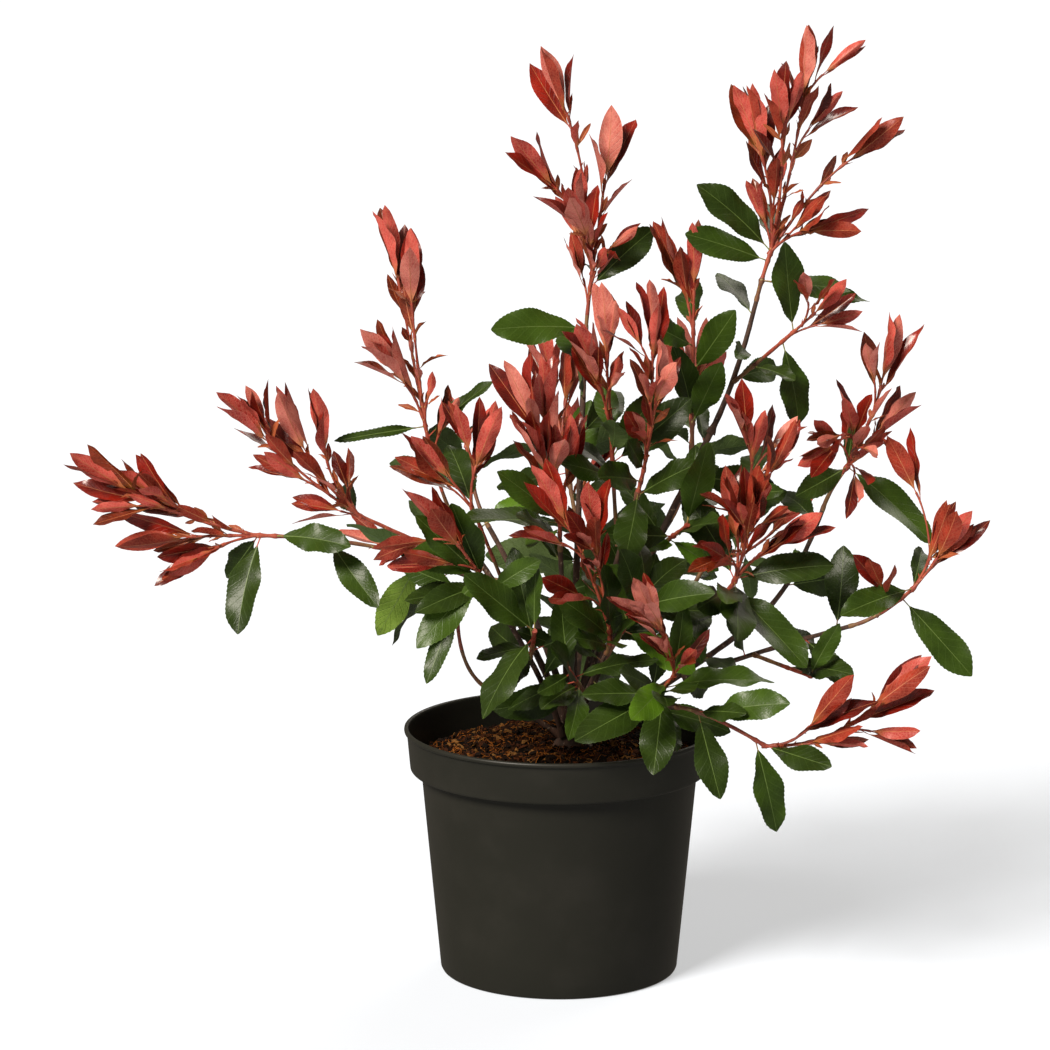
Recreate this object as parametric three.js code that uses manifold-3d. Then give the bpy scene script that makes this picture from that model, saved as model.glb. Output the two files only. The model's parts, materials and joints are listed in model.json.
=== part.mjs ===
// Potted red-tipped photinia: a bushy evergreen shrub in a round black nursery pot.
// Millimetres, +Z up. The origin is the centre of the pot's flat underside, and -Y is the front.
// The pot, the potting mix, the stem base, each limb and each spray of leaves is a solid of its own.
// A spray is one stem with young shoots and leaves that grow by a seeded rule and are fused together.

import * as THREE from "three";
import { mergeVertices } from "three/addons/utils/BufferGeometryUtils.js";
import Module from "manifold-3d";

const wasm = await Module();
wasm.setup();

// Seven and a half litre pot, with a wide band under the rim that steps out from the wall
const POT_HEIGHT = 200;
const POT_RIM_RADIUS = 125;
const POT_BAND_RADIUS = 120.2;
const POT_STEP = 165.5;
const POT_SHOULDER_RADIUS = 111.3;
const POT_FOOT_RADIUS = 96;
const POT_WALL = 2;
const POT_FLOOR = 2.5;
const POT_SEGMENTS = 28;

// Potting mix, heaped in the middle and slumped at the wall
const MIX_TOP = 188;
const MIX_EDGE = 171;
const MIX_FLAT_RADIUS = 24;
const MIX_CLEARANCE = 0.6;

// Stem base that the limbs rise from
const BASE_PLACE = [10, -5];
const BASE_HEIGHT = 22;
const BASE_FLARE_RADIUS = 13.5;
const BASE_RADIUS = 10.5;
const BASE_FLARE_HEIGHT = 14;
const BASE_SIDES = 16;

// Gap that neighbouring solids keep
const GAP = 0.3;

// Limbs have six sides and a row of vertices about every so many millimetres
const LIMB_SIDES = 6;
const LIMB_ROW_STEP = 40;

// Side that the edge of a limb or twig points to where it carries on from a tip
const FREE_LEAN = [0.2, -1, 0];

// How far along its way a limb, a stem and a shoot have their knee, which bends them
const LIMB_KNEE = 0.45;
const TWIG_KNEE = 0.4;

// Twigs have three sides: radius of the stem's foot, of the node, and of a shoot at both ends
const TWIG_SIDES = 3;
const TWIG_ROW_STEP = 50;
const STEM_RADIUS = [2, 1.7];
const SHOOT_RADIUS = [1.5, 1];

// Leaves turn round their stem by this angle from one to the next
const SPIRAL = 137.5;

// Mature leaf: length range, width and keel as parts of the length, outline as places along the
// leaf with their share of its width, angle from the stem, arch, roll, spacing and bare foot
const MATURE = {
  length: [60, 88],
  width: 0.35,
  keel: 0.02,
  outline: [[0, 0], [0.3, 0.86], [0.72, 0.9], [1, 0]],
  angle: [50, 76],
  arch: [0.04, 0.34],
  roll: 30,
  spacing: 10,
  bare: 8,
};

// Young leaf: shorter, pointed, folded along its midrib and held close to the shoot
const YOUNG = {
  length: [38, 56],
  width: 0.36,
  keel: 0.035,
  outline: [[0, 0], [0.48, 1], [1, 0]],
  angle: [16, 38],
  arch: [-0.06, 0.2],
  roll: 40,
  spacing: 14.5,
  bare: 14,
};

// A leaf's root lies this far behind the middle of its twig
const ROOT_DEPTH = 0.4;

// The leaf that ends a shoot, its most share of a short shoot, and the side that it shows
const TIP_LENGTH = 42;
const TIP_SHARE = 0.5;
const TIP_FACING = [0.4, 1, 0];

// A leaf that stands out of its spray: usual length, arch, and where on the stem it may sit
const SHOWN_LENGTH = 72;
const SHOWN_ARCH = 0.16;
const SHOWN_SEATS = [0.3, 0.4, 0.5, 0.6, 0.7, 0.8, 0.9, 0.97];

// Blades face up and out to the light, to the front and to the back of this middle plane
const LIGHT = [0.3, 0.9, 0.7];
const CROWN_MIDDLE = 50;
const YOUNG_TO_LIGHT = 0.6;

// A leaf whose space is taken is turned on by this angle, and left out after so many tries
const TRY_TURN = 47;
const TRIES = 4;

// Room that leaves, twigs and limbs keep round the marks along them, and the marks' spacing
const LEAF_ROOM = 3.2;
const TWIG_ROOM = 2.2;
const LIMB_ROOM = 1.2;
const POT_ROOM = 6;
const MARK_STEP = 5;
const CELL = 12;

// Marks lie across a leaf at these shares of its half width, where it is broad and where it is narrow
const BROAD_SHARES = [-1, -0.33, 0.33, 1];
const NARROW_SHARES = [-0.7, 0.7];

// The first leaf of a spiral sits this share of a spacing short of the twig's tip
const FIRST_LEAF = 0.2;

// Distance that leaves of one spray keep from each other beyond their roots
const KIN_ROOM = 4;
const KIN_ROOT = 13;

// Limbs: where each starts, on the top of the stem base out from its middle, on its flank at a
// height, or along another limb, then the place of its tip, its upward bow and its end radii
const LIMBS = {
  centre_limb: { ring: 0, end: [20, 20, 503], bow: 20, radius: [3.2, 2.2] },
  right_limb: { ring: 7, turn: 0, end: [122, 25, 437], bow: 10, radius: [3.3, 2.5] },
  back_right_limb: { ring: 7, turn: 60, end: [92, 88, 352], bow: 34, radius: [3, 2.1] },
  back_left_limb: { ring: 7, turn: 120, end: [-58, 84, 348], bow: 36, radius: [3, 2.1] },
  left_limb: { ring: 7, turn: 180, end: [-71, -10, 348], bow: 26, radius: [3.1, 2.2] },
  centre_left_limb: { ring: 7, turn: 240, end: [0, -50, 356], bow: 24, radius: [2.7, 1.9] },
  middle_limb: { ring: 7, turn: 300, end: [58, -36, 386], bow: 20, radius: [2.8, 2] },
  low_right_limb: { flank: 12, turn: -8, end: [150, 0, 280], bow: -8, radius: [3, 2.3] },
  front_right_limb: { flank: 9, turn: 308, end: [92, -103, 240], bow: 20, radius: [2.7, 2] },
  front_limb: { flank: 12, turn: 275, end: [37, -75, 278], bow: 16, radius: [2.5, 1.9] },
  front_left_limb: { flank: 11, turn: 232, end: [-50, -80, 318], bow: 24, radius: [2.6, 1.9] },
  low_left_limb: { flank: 8, turn: 196, end: [-58, -30, 238], bow: 0, radius: [2.2, 1.8] },
  low_back_limb: { flank: 10, turn: 88, end: [22, 92, 268], bow: 20, radius: [2.7, 2] },
  right_top_limb: { from: "right_limb", at: 1, end: [157, 25, 544], bow: 0, radius: [2.4, 1.9] },
  right_inner_limb: { from: "right_limb", at: 0.42, end: [124, -48, 318], bow: 10, radius: [2.2, 1.8] },
  right_bough: { from: "low_right_limb", at: 1, end: [211, 10, 377], bow: 0, radius: [2.2, 1.9] },
  far_right_bough: { from: "low_right_limb", at: 0.62, end: [232, -34, 290], bow: 4, radius: [2.2, 1.8] },
  left_low_bough: { from: "left_limb", at: 0.8, end: [-114, -34, 345], bow: 2, radius: [2, 1.8] },
};

// Sprays: the limb each grows on, the node that its shoots fork from, the tips they reach, the tips
// of the leaves that stand out of the spray, and how many more mature leaves sit below the node
const SPRAYS = {
  left_low: {
    on: "left_low_bough", node: [-239, -60, 368], leaves: 3,
    tips: [[-376, -80, 432], [-345, -40, 404], [-318, -70, 352], [-290, -105, 347]],
    shown: [[-257, -92, 298], [-160, -88, 368], [-157, -92, 312]],
  },
  left_middle: {
    on: "left_limb", at: 0.9, node: [-160, -35, 380], leaves: 4,
    tips: [[-262, -60, 470], [-168, -10, 448], [-190, -52, 484], [-222, -30, 488]],
  },
  left_high: {
    on: "left_limb", node: [-107, -10, 450], leaves: 4,
    tips: [[-139, 5, 620], [-120, -15, 605], [-152, -30, 530], [-98, -25, 492]],
    shown: [[-175, -34, 434], [-54, -26, 486]],
  },
  left_inner: {
    on: "left_limb", at: 0.62, node: [-70, -56, 392], leaves: 6,
    tips: [[-80, -70, 446], [-46, -38, 450]],
  },
  left_front: {
    on: "front_left_limb", node: [-62, -104, 345], leaves: 6,
    tips: [[-115, -140, 420], [-85, -150, 408]],
    shown: [[-124, -120, 349], [-128, -112, 312]],
  },
  low_left: {
    on: "low_left_limb", node: [-80, -44, 326], leaves: 6, scale: 0.62, tips: [],
    shown: [[-101, -70, 251], [-110, -66, 279], [-94, -75, 310]],
  },
  centre_left: {
    on: "centre_left_limb", node: [0, -62, 380], leaves: 6,
    tips: [[-42, -88, 512], [-16, -62, 510], [12, -72, 466], [-28, -118, 470]],
  },
  top_centre: {
    on: "centre_limb", node: [26, 20, 567], leaves: 2,
    tips: [[-14, 0, 746], [44, 40, 694], [-40, -10, 676], [2, -34, 640], [62, -4, 604]],
    shown: [[-54, -4, 525], [-28, 32, 557], [72, 50, 598]],
  },
  centre_high: {
    on: "middle_limb", at: 0.84, node: [40, -48, 446], leaves: 4,
    tips: [[30, -44, 566], [12, -84, 540]],
  },
  middle: {
    on: "middle_limb", node: [66, -46, 420], leaves: 5,
    tips: [[72, -80, 572], [68, -104, 505], [96, -40, 540]],
    shown: [[108, -70, 428], [50, -95, 355]],
  },
  front_v: {
    on: "front_limb", node: [38, -88, 300], leaves: 5,
    tips: [[-14, -124, 432], [22, -140, 420], [54, -100, 352]],
    shown: [[30, -130, 355], [11, -120, 298]],
  },
  front_low: {
    on: "front_right_limb", at: 0.8, node: [88, -117, 269], leaves: 4,
    tips: [[60, -158, 350], [106, -126, 322]],
    shown: [[12, -140, 222], [70, -150, 199], [45, -140, 280]],
  },
  low_right: {
    on: "front_right_limb", node: [160, -126, 214], leaves: 2,
    tips: [[252, -142, 268], [296, -112, 282], [212, -170, 206]],
    shown: [[165, -132, 148], [118, -146, 178], [175, -150, 257]],
  },
  upper_twig: {
    on: "right_limb", at: 0.9, node: [106, 12, 520], leaves: 2,
    tips: [[82, 10, 604], [112, 4, 592]],
    shown: [[123, -12, 498]],
  },
  top_right: {
    on: "right_top_limb", node: [168, 25, 582], leaves: 3,
    tips: [[203, 10, 761], [138, 30, 714], [166, -14, 730], [270, 50, 694], [236, -20, 640]],
    shown: [[111, 20, 637], [101, 0, 595], [228, 0, 553], [247, 40, 535]],
  },
  right_high: {
    on: "right_top_limb", at: 0.45, node: [185, -13, 523], leaves: 1,
    tips: [[244, -30, 558], [188, -54, 566]],
    shown: [[184, -30, 486], [191, -14, 449]],
  },
  right_inner: {
    on: "right_inner_limb", node: [138, -60, 334], leaves: 4,
    tips: [[130, -40, 420], [150, -104, 434], [204, -92, 392]],
    shown: [[185, -112, 272], [107, -120, 321], [213, -60, 348]],
  },
  right_upper: {
    on: "right_inner_limb", at: 0.72, node: [150, -16, 400], leaves: 5,
    tips: [[160, -34, 490], [186, -14, 462]],
  },
  right: {
    on: "right_bough", node: [230, 5, 412], leaves: 4,
    tips: [[270, 10, 534], [238, -20, 506], [284, 36, 474], [206, -50, 478]],
    shown: [[296, -20, 356], [189, -30, 391]],
  },
  far_right: {
    on: "far_right_bough", node: [280, -46, 324], leaves: 4,
    tips: [[316, -60, 396], [258, -24, 442], [244, -84, 380]],
    shown: [[319, -70, 255], [218, -80, 311], [296, -90, 288]],
  },
  low_right_leaves: {
    on: "far_right_bough", at: 0.45, node: [196, -92, 262], leaves: 5, tips: [],
    shown: [[174, -140, 238], [228, -110, 270]],
  },
  front_left_leaves: {
    on: "front_left_limb", at: 0.6, node: [-20, -98, 300], leaves: 5, tips: [],
    shown: [[-47, -120, 256], [-76, -130, 345]],
  },
  front_middle_leaves: {
    on: "front_limb", at: 0.75, node: [66, -96, 330], leaves: 7, tips: [],
  },
  middle_leaves: {
    on: "right_limb", at: 0.6, node: [100, -58, 376], leaves: 7, tips: [],
  },
  low_front_leaves: {
    on: "front_limb", at: 0.5, node: [6, -96, 270], leaves: 7, scale: 0.85, tips: [],
  },
  back_left_high: {
    on: "back_left_limb", node: [-76, 112, 412], leaves: 7,
    tips: [[-92, 140, 488], [-50, 128, 480]],
  },
  back_left_low: {
    on: "back_left_limb", at: 0.7, node: [-118, 92, 316], leaves: 7,
    tips: [[-172, 120, 352]],
  },
  back_centre: {
    on: "low_back_limb", node: [14, 138, 344], leaves: 7,
    tips: [[8, 170, 440], [44, 186, 402]],
  },
  back_low: {
    on: "low_back_limb", at: 0.72, node: [24, 166, 262], leaves: 7,
    tips: [[30, 228, 308]],
  },
  back_right_high: {
    on: "back_right_limb", node: [110, 118, 424], leaves: 7,
    tips: [[124, 150, 510], [84, 136, 500]],
  },
  back_right_low: {
    on: "back_right_limb", at: 0.7, node: [156, 122, 318], leaves: 7,
    tips: [[216, 148, 372]],
  },
  back_middle: {
    on: "centre_limb", at: 0.55, node: [2, 66, 424], leaves: 6,
    tips: [[-16, 78, 520], [22, 92, 510]],
  },
};

const TINY = 1e-6;
const UP = new THREE.Vector3(0, 0, 1);
const vector = (place) => new THREE.Vector3(...place);
const radians = THREE.MathUtils.degToRad;
const lerp = THREE.MathUtils.lerp;

function dice(seed) {
  let state = seed;
  return (low, high) => {
    state = (state * 1664525 + 1013904223) % 4294967296;
    return low + (high - low) * (state / 4294967296);
  };
}

// The part of a hint that is square to a direction
function squareTo(direction, hint) {
  return hint.clone().addScaledVector(direction, -hint.dot(direction)).normalize();
}

function closed(shape) {
  shape.deleteAttribute("normal");
  shape.deleteAttribute("uv");
  return mergeVertices(shape, 1e-4);
}

// Lays the rows of vertices of an upright shape on sections, each a centre with two half axes
function layOn(sections, shape, levelOf) {
  const vertices = shape.attributes.position;
  for (let i = 0; i < vertices.count; i += 1) {
    const section = sections[Math.round(levelOf(vertices.getY(i)) * (sections.length - 1))];
    const across = new THREE.Vector2(vertices.getX(i), vertices.getZ(i));
    if (across.length() > TINY) across.normalize();
    const vertex = section.centre.clone();
    vertex.addScaledVector(section.x, across.x).addScaledVector(section.z, across.y);
    vertices.setXYZ(i, vertex.x, vertex.y, vertex.z);
  }
  return closed(shape);
}

// A shape with flat ends
function rod(sides, sections) {
  const shape = new THREE.CylinderGeometry(1, 1, 1, sides, sections.length - 1);
  return layOn(sections, shape, (y) => y + 0.5);
}

// A shape with pointed ends
function spindle(sides, sections) {
  const shape = new THREE.SphereGeometry(1, sides, sections.length - 1);
  return layOn(sections, shape, (y) => 1 - Math.acos(y) / Math.PI);
}

function rowsOf(path, step) {
  return Math.max(2, Math.round(path.getLength() / step));
}

// A tapering limb or twig along a path, with an edge of its foot on the side that the path leans to
function taper(path, radius, sides, step) {
  const rows = rowsOf(path, step);
  const sections = [];
  let side = path.getTangent(0).cross(path.lean ?? vector(FREE_LEAN));
  for (let row = 0; row <= rows; row += 1) {
    const along = path.getTangent(row / rows);
    side = squareTo(along, side);
    const x = side.clone().multiplyScalar(lerp(...radius, row / rows));
    sections.push({ centre: path.getPoint(row / rows), x, z: x.clone().cross(along) });
  }
  return rod(sides, sections);
}

// A limb or twig is straight from one row to the next, and what it bears sits on these straights
function pointOn(path, u, step) {
  const rows = rowsOf(path, step);
  const row = Math.min(Math.floor(u * rows), rows - 1);
  return path.getPoint(row / rows).lerp(path.getPoint((row + 1) / rows), u * rows - row);
}

// A leaf's midrib leaves the root along its heading and arches away from its face
function midrib(leaf, u) {
  const distance = u > 0 ? leaf.length * u : -ROOT_DEPTH;
  const place = leaf.root.clone().addScaledVector(leaf.heading, distance);
  return place.addScaledVector(leaf.face, -leaf.arch * leaf.length * u * u);
}

function leafShape(leaf) {
  const { kind, heading, face, length } = leaf;
  const side = heading.clone().cross(face);
  const sections = kind.outline.map(([u, share]) => {
    const along = heading.clone().addScaledVector(face, -2 * leaf.arch * u).normalize();
    const keel = share > 0 ? kind.keel * length : 0;
    const x = side.clone().cross(along).multiplyScalar(keel);
    const z = side.clone().multiplyScalar(-share * kind.width * length / Math.sqrt(3));
    return { centre: midrib(leaf, u), x, z };
  });
  return spindle(3, sections);
}

// Marks show where a limb, a twig or a leaf is, each with the room that it needs
function marksAlong(path, room) {
  return path.getPoints(rowsOf(path, MARK_STEP)).map((place) => ({ place, room }));
}

// Half the width of a leaf's blade, never quite nothing at its ends
function halfWidth(leaf, u) {
  return leaf.kind.width * leaf.length * 0.5 * Math.sin(Math.PI * lerp(0.04, 0.96, u));
}

function marksOnLeaf(leaf) {
  const side = leaf.heading.clone().cross(leaf.face);
  const rows = Math.ceil(leaf.length / MARK_STEP);
  const marks = [];
  for (let row = 2; row <= rows; row += 1) {
    const u = row / rows;
    const half = halfWidth(leaf, u);
    for (const share of half > MARK_STEP ? BROAD_SHARES : NARROW_SHARES) {
      const place = midrib(leaf, u).addScaledVector(side, half * share);
      marks.push({ place, room: LEAF_ROOM, depth: u * leaf.length });
    }
  }
  return marks;
}

// Space that each limb and spray keeps to itself
const cells = new Map();

function cellsRound(place, reach) {
  const [x, y, z] = [place.x, place.y, place.z].map((value) => Math.floor(value / CELL));
  const steps = reach === 0 ? [0] : [-1, 0, 1];
  return steps.flatMap((i) => steps.flatMap((j) => steps.map((k) => [x + i, y + j, z + k].join())));
}

function claim(marks, owner) {
  for (const mark of marks) {
    const [key] = cellsRound(mark.place, 0);
    if (!cells.has(key)) cells.set(key, []);
    cells.get(key).push({ ...mark, owner });
  }
}

function overPot(place) {
  return place.z < POT_HEIGHT + POT_ROOM && Math.hypot(place.x, place.y) < POT_RIM_RADIUS + POT_ROOM;
}

function clears(mark, other, friends, kin) {
  if (friends.includes(other.owner)) return true;
  const distance = other.place.distanceTo(mark.place);
  if (other.owner === kin) return mark.depth < KIN_ROOT || distance > KIN_ROOM;
  return distance > other.room + mark.room;
}

function isFree(marks, friends, kin) {
  return marks.every((mark) => {
    const others = cellsRound(mark.place, 1).flatMap((key) => cells.get(key) ?? []);
    return !overPot(mark.place) && others.every((other) => clears(mark, other, friends, kin));
  });
}

// Paths of the limbs. A limb starts just clear of what bears it, its foot tilted as it leans, and
// bends at its knee to reach its tip
const paths = {};

function risingPath(seat, normal, radius, end, bow) {
  const knee = seat.clone().lerp(end, LIMB_KNEE).addScaledVector(UP, bow);
  const heading = knee.clone().sub(seat).normalize();
  const tilt = Math.sqrt(1 - heading.dot(normal) ** 2);
  const start = seat.clone().addScaledVector(normal, radius * tilt + GAP);
  knee.copy(start).addScaledVector(heading, start.distanceTo(end) * LIMB_KNEE);
  const path = new THREE.QuadraticBezierCurve3(start, knee, end);
  path.lean = normal.clone().negate();
  return path;
}

// Radius of the stem base at a height, with its flare at the ground
function baseRadius(height) {
  const flare = Math.max(0, 1 - height / BASE_FLARE_HEIGHT);
  return lerp(BASE_RADIUS, BASE_FLARE_RADIUS, flare ** 2);
}

function basePath(row) {
  const turn = radians(row.turn ?? 0);
  const out = new THREE.Vector3(Math.cos(turn), Math.sin(turn), 0);
  const seat = new THREE.Vector3(...BASE_PLACE, MIX_TOP + GAP);
  const onFlank = row.flank !== undefined;
  seat.addScaledVector(out, onFlank ? baseRadius(row.flank) : row.ring);
  seat.addScaledVector(UP, onFlank ? row.flank : BASE_HEIGHT);
  return risingPath(seat, onFlank ? out : UP, row.radius[0], vector(row.end), row.bow);
}

// Carries on from a limb's tip
function tipPath(parent, end) {
  const along = paths[parent].getTangent(1);
  const start = paths[parent].getPoint(1).addScaledVector(along, GAP);
  const knee = start.clone().addScaledVector(along, start.distanceTo(end) * TWIG_KNEE);
  return new THREE.QuadraticBezierCurve3(start, knee, end);
}

// Leaves the side of a limb
function sidePath(parent, at, radius, end, bow) {
  const seat = pointOn(paths[parent], at, LIMB_ROW_STEP);
  const normal = squareTo(paths[parent].getTangent(at), end.clone().sub(seat));
  seat.addScaledVector(normal, lerp(...LIMBS[parent].radius, at));
  return risingPath(seat, normal, radius, end, bow);
}

function limbPath(row) {
  if (row.from === undefined) return basePath(row);
  if (row.at === 1) return tipPath(row.from, vector(row.end));
  return sidePath(row.from, row.at, row.radius[0], vector(row.end), row.bow);
}

function growLimb([name, row]) {
  paths[name] = limbPath(row);
  claim(marksAlong(paths[name], row.radius[0] + LIMB_ROOM), name);
}

// A shoot forks from the node and turns to its tip, which its last leaf reaches
function shootPath(stem, place) {
  const node = stem.getPoint(1);
  const heading = stem.getTangent(1);
  const tip = vector(place);
  const out = tip.clone().sub(node);
  const leaving = out.clone().normalize().add(heading).normalize();
  const knee = node.clone().addScaledVector(leaving, out.length() * TWIG_KNEE);
  const last = Math.min(TIP_LENGTH, out.length() * TIP_SHARE);
  const end = tip.clone().addScaledVector(tip.clone().sub(knee).normalize(), -last);
  const foot = node.addScaledVector(heading, -STEM_RADIUS[1]);
  return Object.assign(new THREE.QuadraticBezierCurve3(foot, knee, end), { last });
}

// A spray's stem runs from its limb to the node, and a shoot that would touch another is left out
function growTwigs([name, row]) {
  const node = vector(row.node);
  const at = row.at ?? 1;
  const stem = at === 1 ? tipPath(row.on, node) : sidePath(row.on, at, STEM_RADIUS[0], node, 0);
  claim(marksAlong(stem, TWIG_ROOM), name);
  const isOpen = (shoot) => isFree(marksAlong(shoot, TWIG_ROOM), [name, row.on]);
  const shoots = row.tips.map((place) => shootPath(stem, place)).filter(isOpen);
  shoots.forEach((shoot) => claim(marksAlong(shoot, TWIG_ROOM), name));
  return { name, row, stem, shoots, leaves: [] };
}

// Blades face up and out to the light
function toLight(place) {
  const [x, y, z] = LIGHT;
  return new THREE.Vector3(x * Math.sign(place.x), place.y < CROWN_MIDDLE ? -y : y, z);
}

// Adds a leaf to its spray if its space is free
function seatLeaf(spray, leaf) {
  const kin = `${spray.name} leaves`;
  const marks = marksOnLeaf(leaf);
  if (!isFree(marks, [spray.name], kin)) return false;
  claim(marks, kin);
  spray.leaves.push(leaf);
  return true;
}

// A mature leaf that reaches a given place, from where the stem is a leaf's length from it
function growShownLeaf(spray, place) {
  const tip = vector(place);
  const miss = (root) => Math.abs(root.distanceTo(tip) - SHOWN_LENGTH);
  const roots = SHOWN_SEATS.map((u) => pointOn(spray.stem, u, TWIG_ROW_STEP));
  const root = roots.reduce((best, next) => (miss(next) < miss(best) ? next : best));
  const length = root.distanceTo(tip);
  const out = tip.sub(root).normalize();
  const rise = squareTo(out, toLight(root)).multiplyScalar(SHOWN_ARCH);
  const heading = out.add(rise).normalize();
  const face = squareTo(heading, rise);
  seatLeaf(spray, { kind: MATURE, root, heading, face, length, arch: SHOWN_ARCH });
}

// One leaf of the spiral, at a distance along a twig and turned round it
function growLeaf(spray, kind, twig, distance, turn, chance) {
  const u = distance / twig.getLength();
  const root = pointOn(twig, u, TWIG_ROW_STEP);
  const along = twig.getTangent(u);
  const side = squareTo(along, new THREE.Vector3(1, 0.2, 0));
  const reach = kind === YOUNG ? twig.last + twig.getLength() - distance : Infinity;
  const length = Math.min(chance(...kind.length) * (spray.row.scale ?? 1), reach);
  const angle = radians(chance(...kind.angle));
  const arch = chance(...kind.arch);
  const roll = radians(chance(-kind.roll, kind.roll));
  const hint = kind === YOUNG ? toLight(root).multiplyScalar(YOUNG_TO_LIGHT).add(along) : toLight(root);
  for (let attempt = 0; attempt < TRIES; attempt += 1) {
    const out = side.clone().applyAxisAngle(along, radians(turn + attempt * TRY_TURN));
    const heading = along.clone().multiplyScalar(Math.cos(angle)).addScaledVector(out, Math.sin(angle));
    const face = squareTo(heading, hint).applyAxisAngle(heading, roll);
    if (seatLeaf(spray, { kind, root, heading, face, length, arch })) return;
  }
}

function tipLeaf(shoot) {
  const heading = shoot.getTangent(1);
  const face = squareTo(heading, vector(TIP_FACING));
  return { kind: YOUNG, root: shoot.getPoint(1), heading, face, length: shoot.last, arch: 0 };
}

// Mature leaves go down the stem from the node, and young leaves down each shoot from its tip
function growLeaves(spray, seed) {
  const chance = dice(seed);
  let turn = chance(0, 360);
  const growSpiral = (kind, twig, distances) => {
    for (const distance of distances.filter((value) => value > kind.bare)) {
      growLeaf(spray, kind, twig, distance, turn, chance);
      turn += SPIRAL;
    }
  };
  const down = (twig, kind, count) => (
    Array.from({ length: count }, (_, i) => twig.getLength() - (i + FIRST_LEAF) * kind.spacing)
  );
  growSpiral(MATURE, spray.stem, down(spray.stem, MATURE, spray.row.leaves));
  for (const shoot of spray.shoots) {
    growSpiral(YOUNG, shoot, down(shoot, YOUNG, Math.ceil(shoot.getLength() / YOUNG.spacing)));
    spray.leaves.push(tipLeaf(shoot));
  }
}

// Joins closed shapes into one
function solidOf(shape) {
  const vertProperties = Float32Array.from(shape.attributes.position.array);
  const triVerts = Uint32Array.from(shape.index.array);
  return new wasm.Manifold(new wasm.Mesh({ numProp: 3, vertProperties, triVerts }));
}

function fuse(shapes) {
  const whole = shapes.map(solidOf).reduce((joined, next) => joined.add(next));
  const mesh = whole.getMesh();
  const shape = new THREE.BufferGeometry();
  shape.setAttribute("position", new THREE.BufferAttribute(mesh.vertProperties, 3));
  shape.setIndex(new THREE.BufferAttribute(mesh.triVerts, 1));
  return shape;
}

function sprayShape(spray) {
  const stem = taper(spray.stem, STEM_RADIUS, TWIG_SIDES, TWIG_ROW_STEP);
  const shoots = spray.shoots.map((shoot) => taper(shoot, SHOOT_RADIUS, TWIG_SIDES, TWIG_ROW_STEP));
  return fuse([stem, ...shoots, ...spray.leaves.map(leafShape)]);
}

// Inside of the pot's wall, from the floor up past the step under the band
function innerWall() {
  return [
    [POT_FOOT_RADIUS - POT_WALL - 1.5, POT_FLOOR], [POT_FOOT_RADIUS - POT_WALL, POT_FLOOR + 1.5],
    [POT_SHOULDER_RADIUS - POT_WALL, POT_STEP - 0.5], [POT_SHOULDER_RADIUS - POT_WALL + 0.8, POT_STEP + POT_WALL],
    [POT_BAND_RADIUS - POT_WALL - 0.8, POT_STEP + POT_WALL], [POT_BAND_RADIUS - POT_WALL, POT_STEP + POT_WALL + 1.2],
  ];
}

// Pot outline from the middle of its underside, up the outside and down the inside
function potOutline() {
  const outerWall = [
    [POT_FOOT_RADIUS - 2, 0], [POT_FOOT_RADIUS, 2], [POT_SHOULDER_RADIUS, POT_STEP - 1.2],
    [POT_SHOULDER_RADIUS + 1, POT_STEP], [POT_BAND_RADIUS - 1.2, POT_STEP],
    [POT_BAND_RADIUS, POT_STEP + 1.5], [POT_BAND_RADIUS + 2.6, POT_HEIGHT - 5],
  ];
  const rim = [
    [POT_RIM_RADIUS - 0.6, POT_HEIGHT - 4], [POT_RIM_RADIUS, POT_HEIGHT - 2],
    [POT_RIM_RADIUS - 1, POT_HEIGHT], [POT_RIM_RADIUS - 3, POT_HEIGHT], [POT_RIM_RADIUS - 4, POT_HEIGHT - 3],
  ];
  return [[0, 0], ...outerWall, ...rim, ...innerWall().reverse(), [0, POT_FLOOR]];
}

// Potting mix outline, clear of the floor and wall, with a dome that ends flat under the stem base
function mixOutline() {
  const side = innerWall().map(([radius, z]) => [radius - MIX_CLEARANCE, z + GAP]);
  const edge = POT_BAND_RADIUS - POT_WALL - MIX_CLEARANCE;
  const dome = [
    [edge, MIX_EDGE], [edge - 10, MIX_EDGE + 6.5], [edge - 34, MIX_TOP - 5], [edge - 62, MIX_TOP - 1],
    [MIX_FLAT_RADIUS, MIX_TOP],
  ];
  return [[0, POT_FLOOR + GAP], ...side, ...dome, [0, MIX_TOP]];
}

function turned(outline) {
  const shape = new THREE.LatheGeometry(outline.map(([r, z]) => new THREE.Vector2(r, z)), POT_SEGMENTS);
  const merged = closed(shape.rotateX(Math.PI / 2));
  const index = merged.index.array;
  const kept = [];
  for (let i = 0; i < index.length; i += 3) {
    const [a, b, c] = index.slice(i, i + 3);
    if (a !== b && b !== c && c !== a) kept.push(a, b, c);
  }
  merged.setIndex(kept);
  return merged;
}

function baseShape() {
  const heights = [0, 0.25, 0.5, 1].map((share) => share * BASE_HEIGHT);
  const sections = heights.map((height) => ({
    centre: new THREE.Vector3(...BASE_PLACE, MIX_TOP + GAP + height),
    x: new THREE.Vector3(baseRadius(height), 0, 0),
    z: new THREE.Vector3(0, -baseRadius(height), 0),
  }));
  return rod(BASE_SIDES, sections);
}

// Finishes
const PLASTIC = { color: 0x34332f, roughness: 0.5, metalness: 0 };
const MIX = { color: 0x4a2a17, roughness: 0.95, metalness: 0 };
const BARK = { color: 0x4a3426, roughness: 0.85, metalness: 0 };
const YOUNG_FOLIAGE = { color: 0xa83a2c, roughness: 0.5, metalness: 0 };
const GREEN_FOLIAGE = { color: 0x2f4a1c, roughness: 0.4, metalness: 0 };

const group = new THREE.Group();

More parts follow.
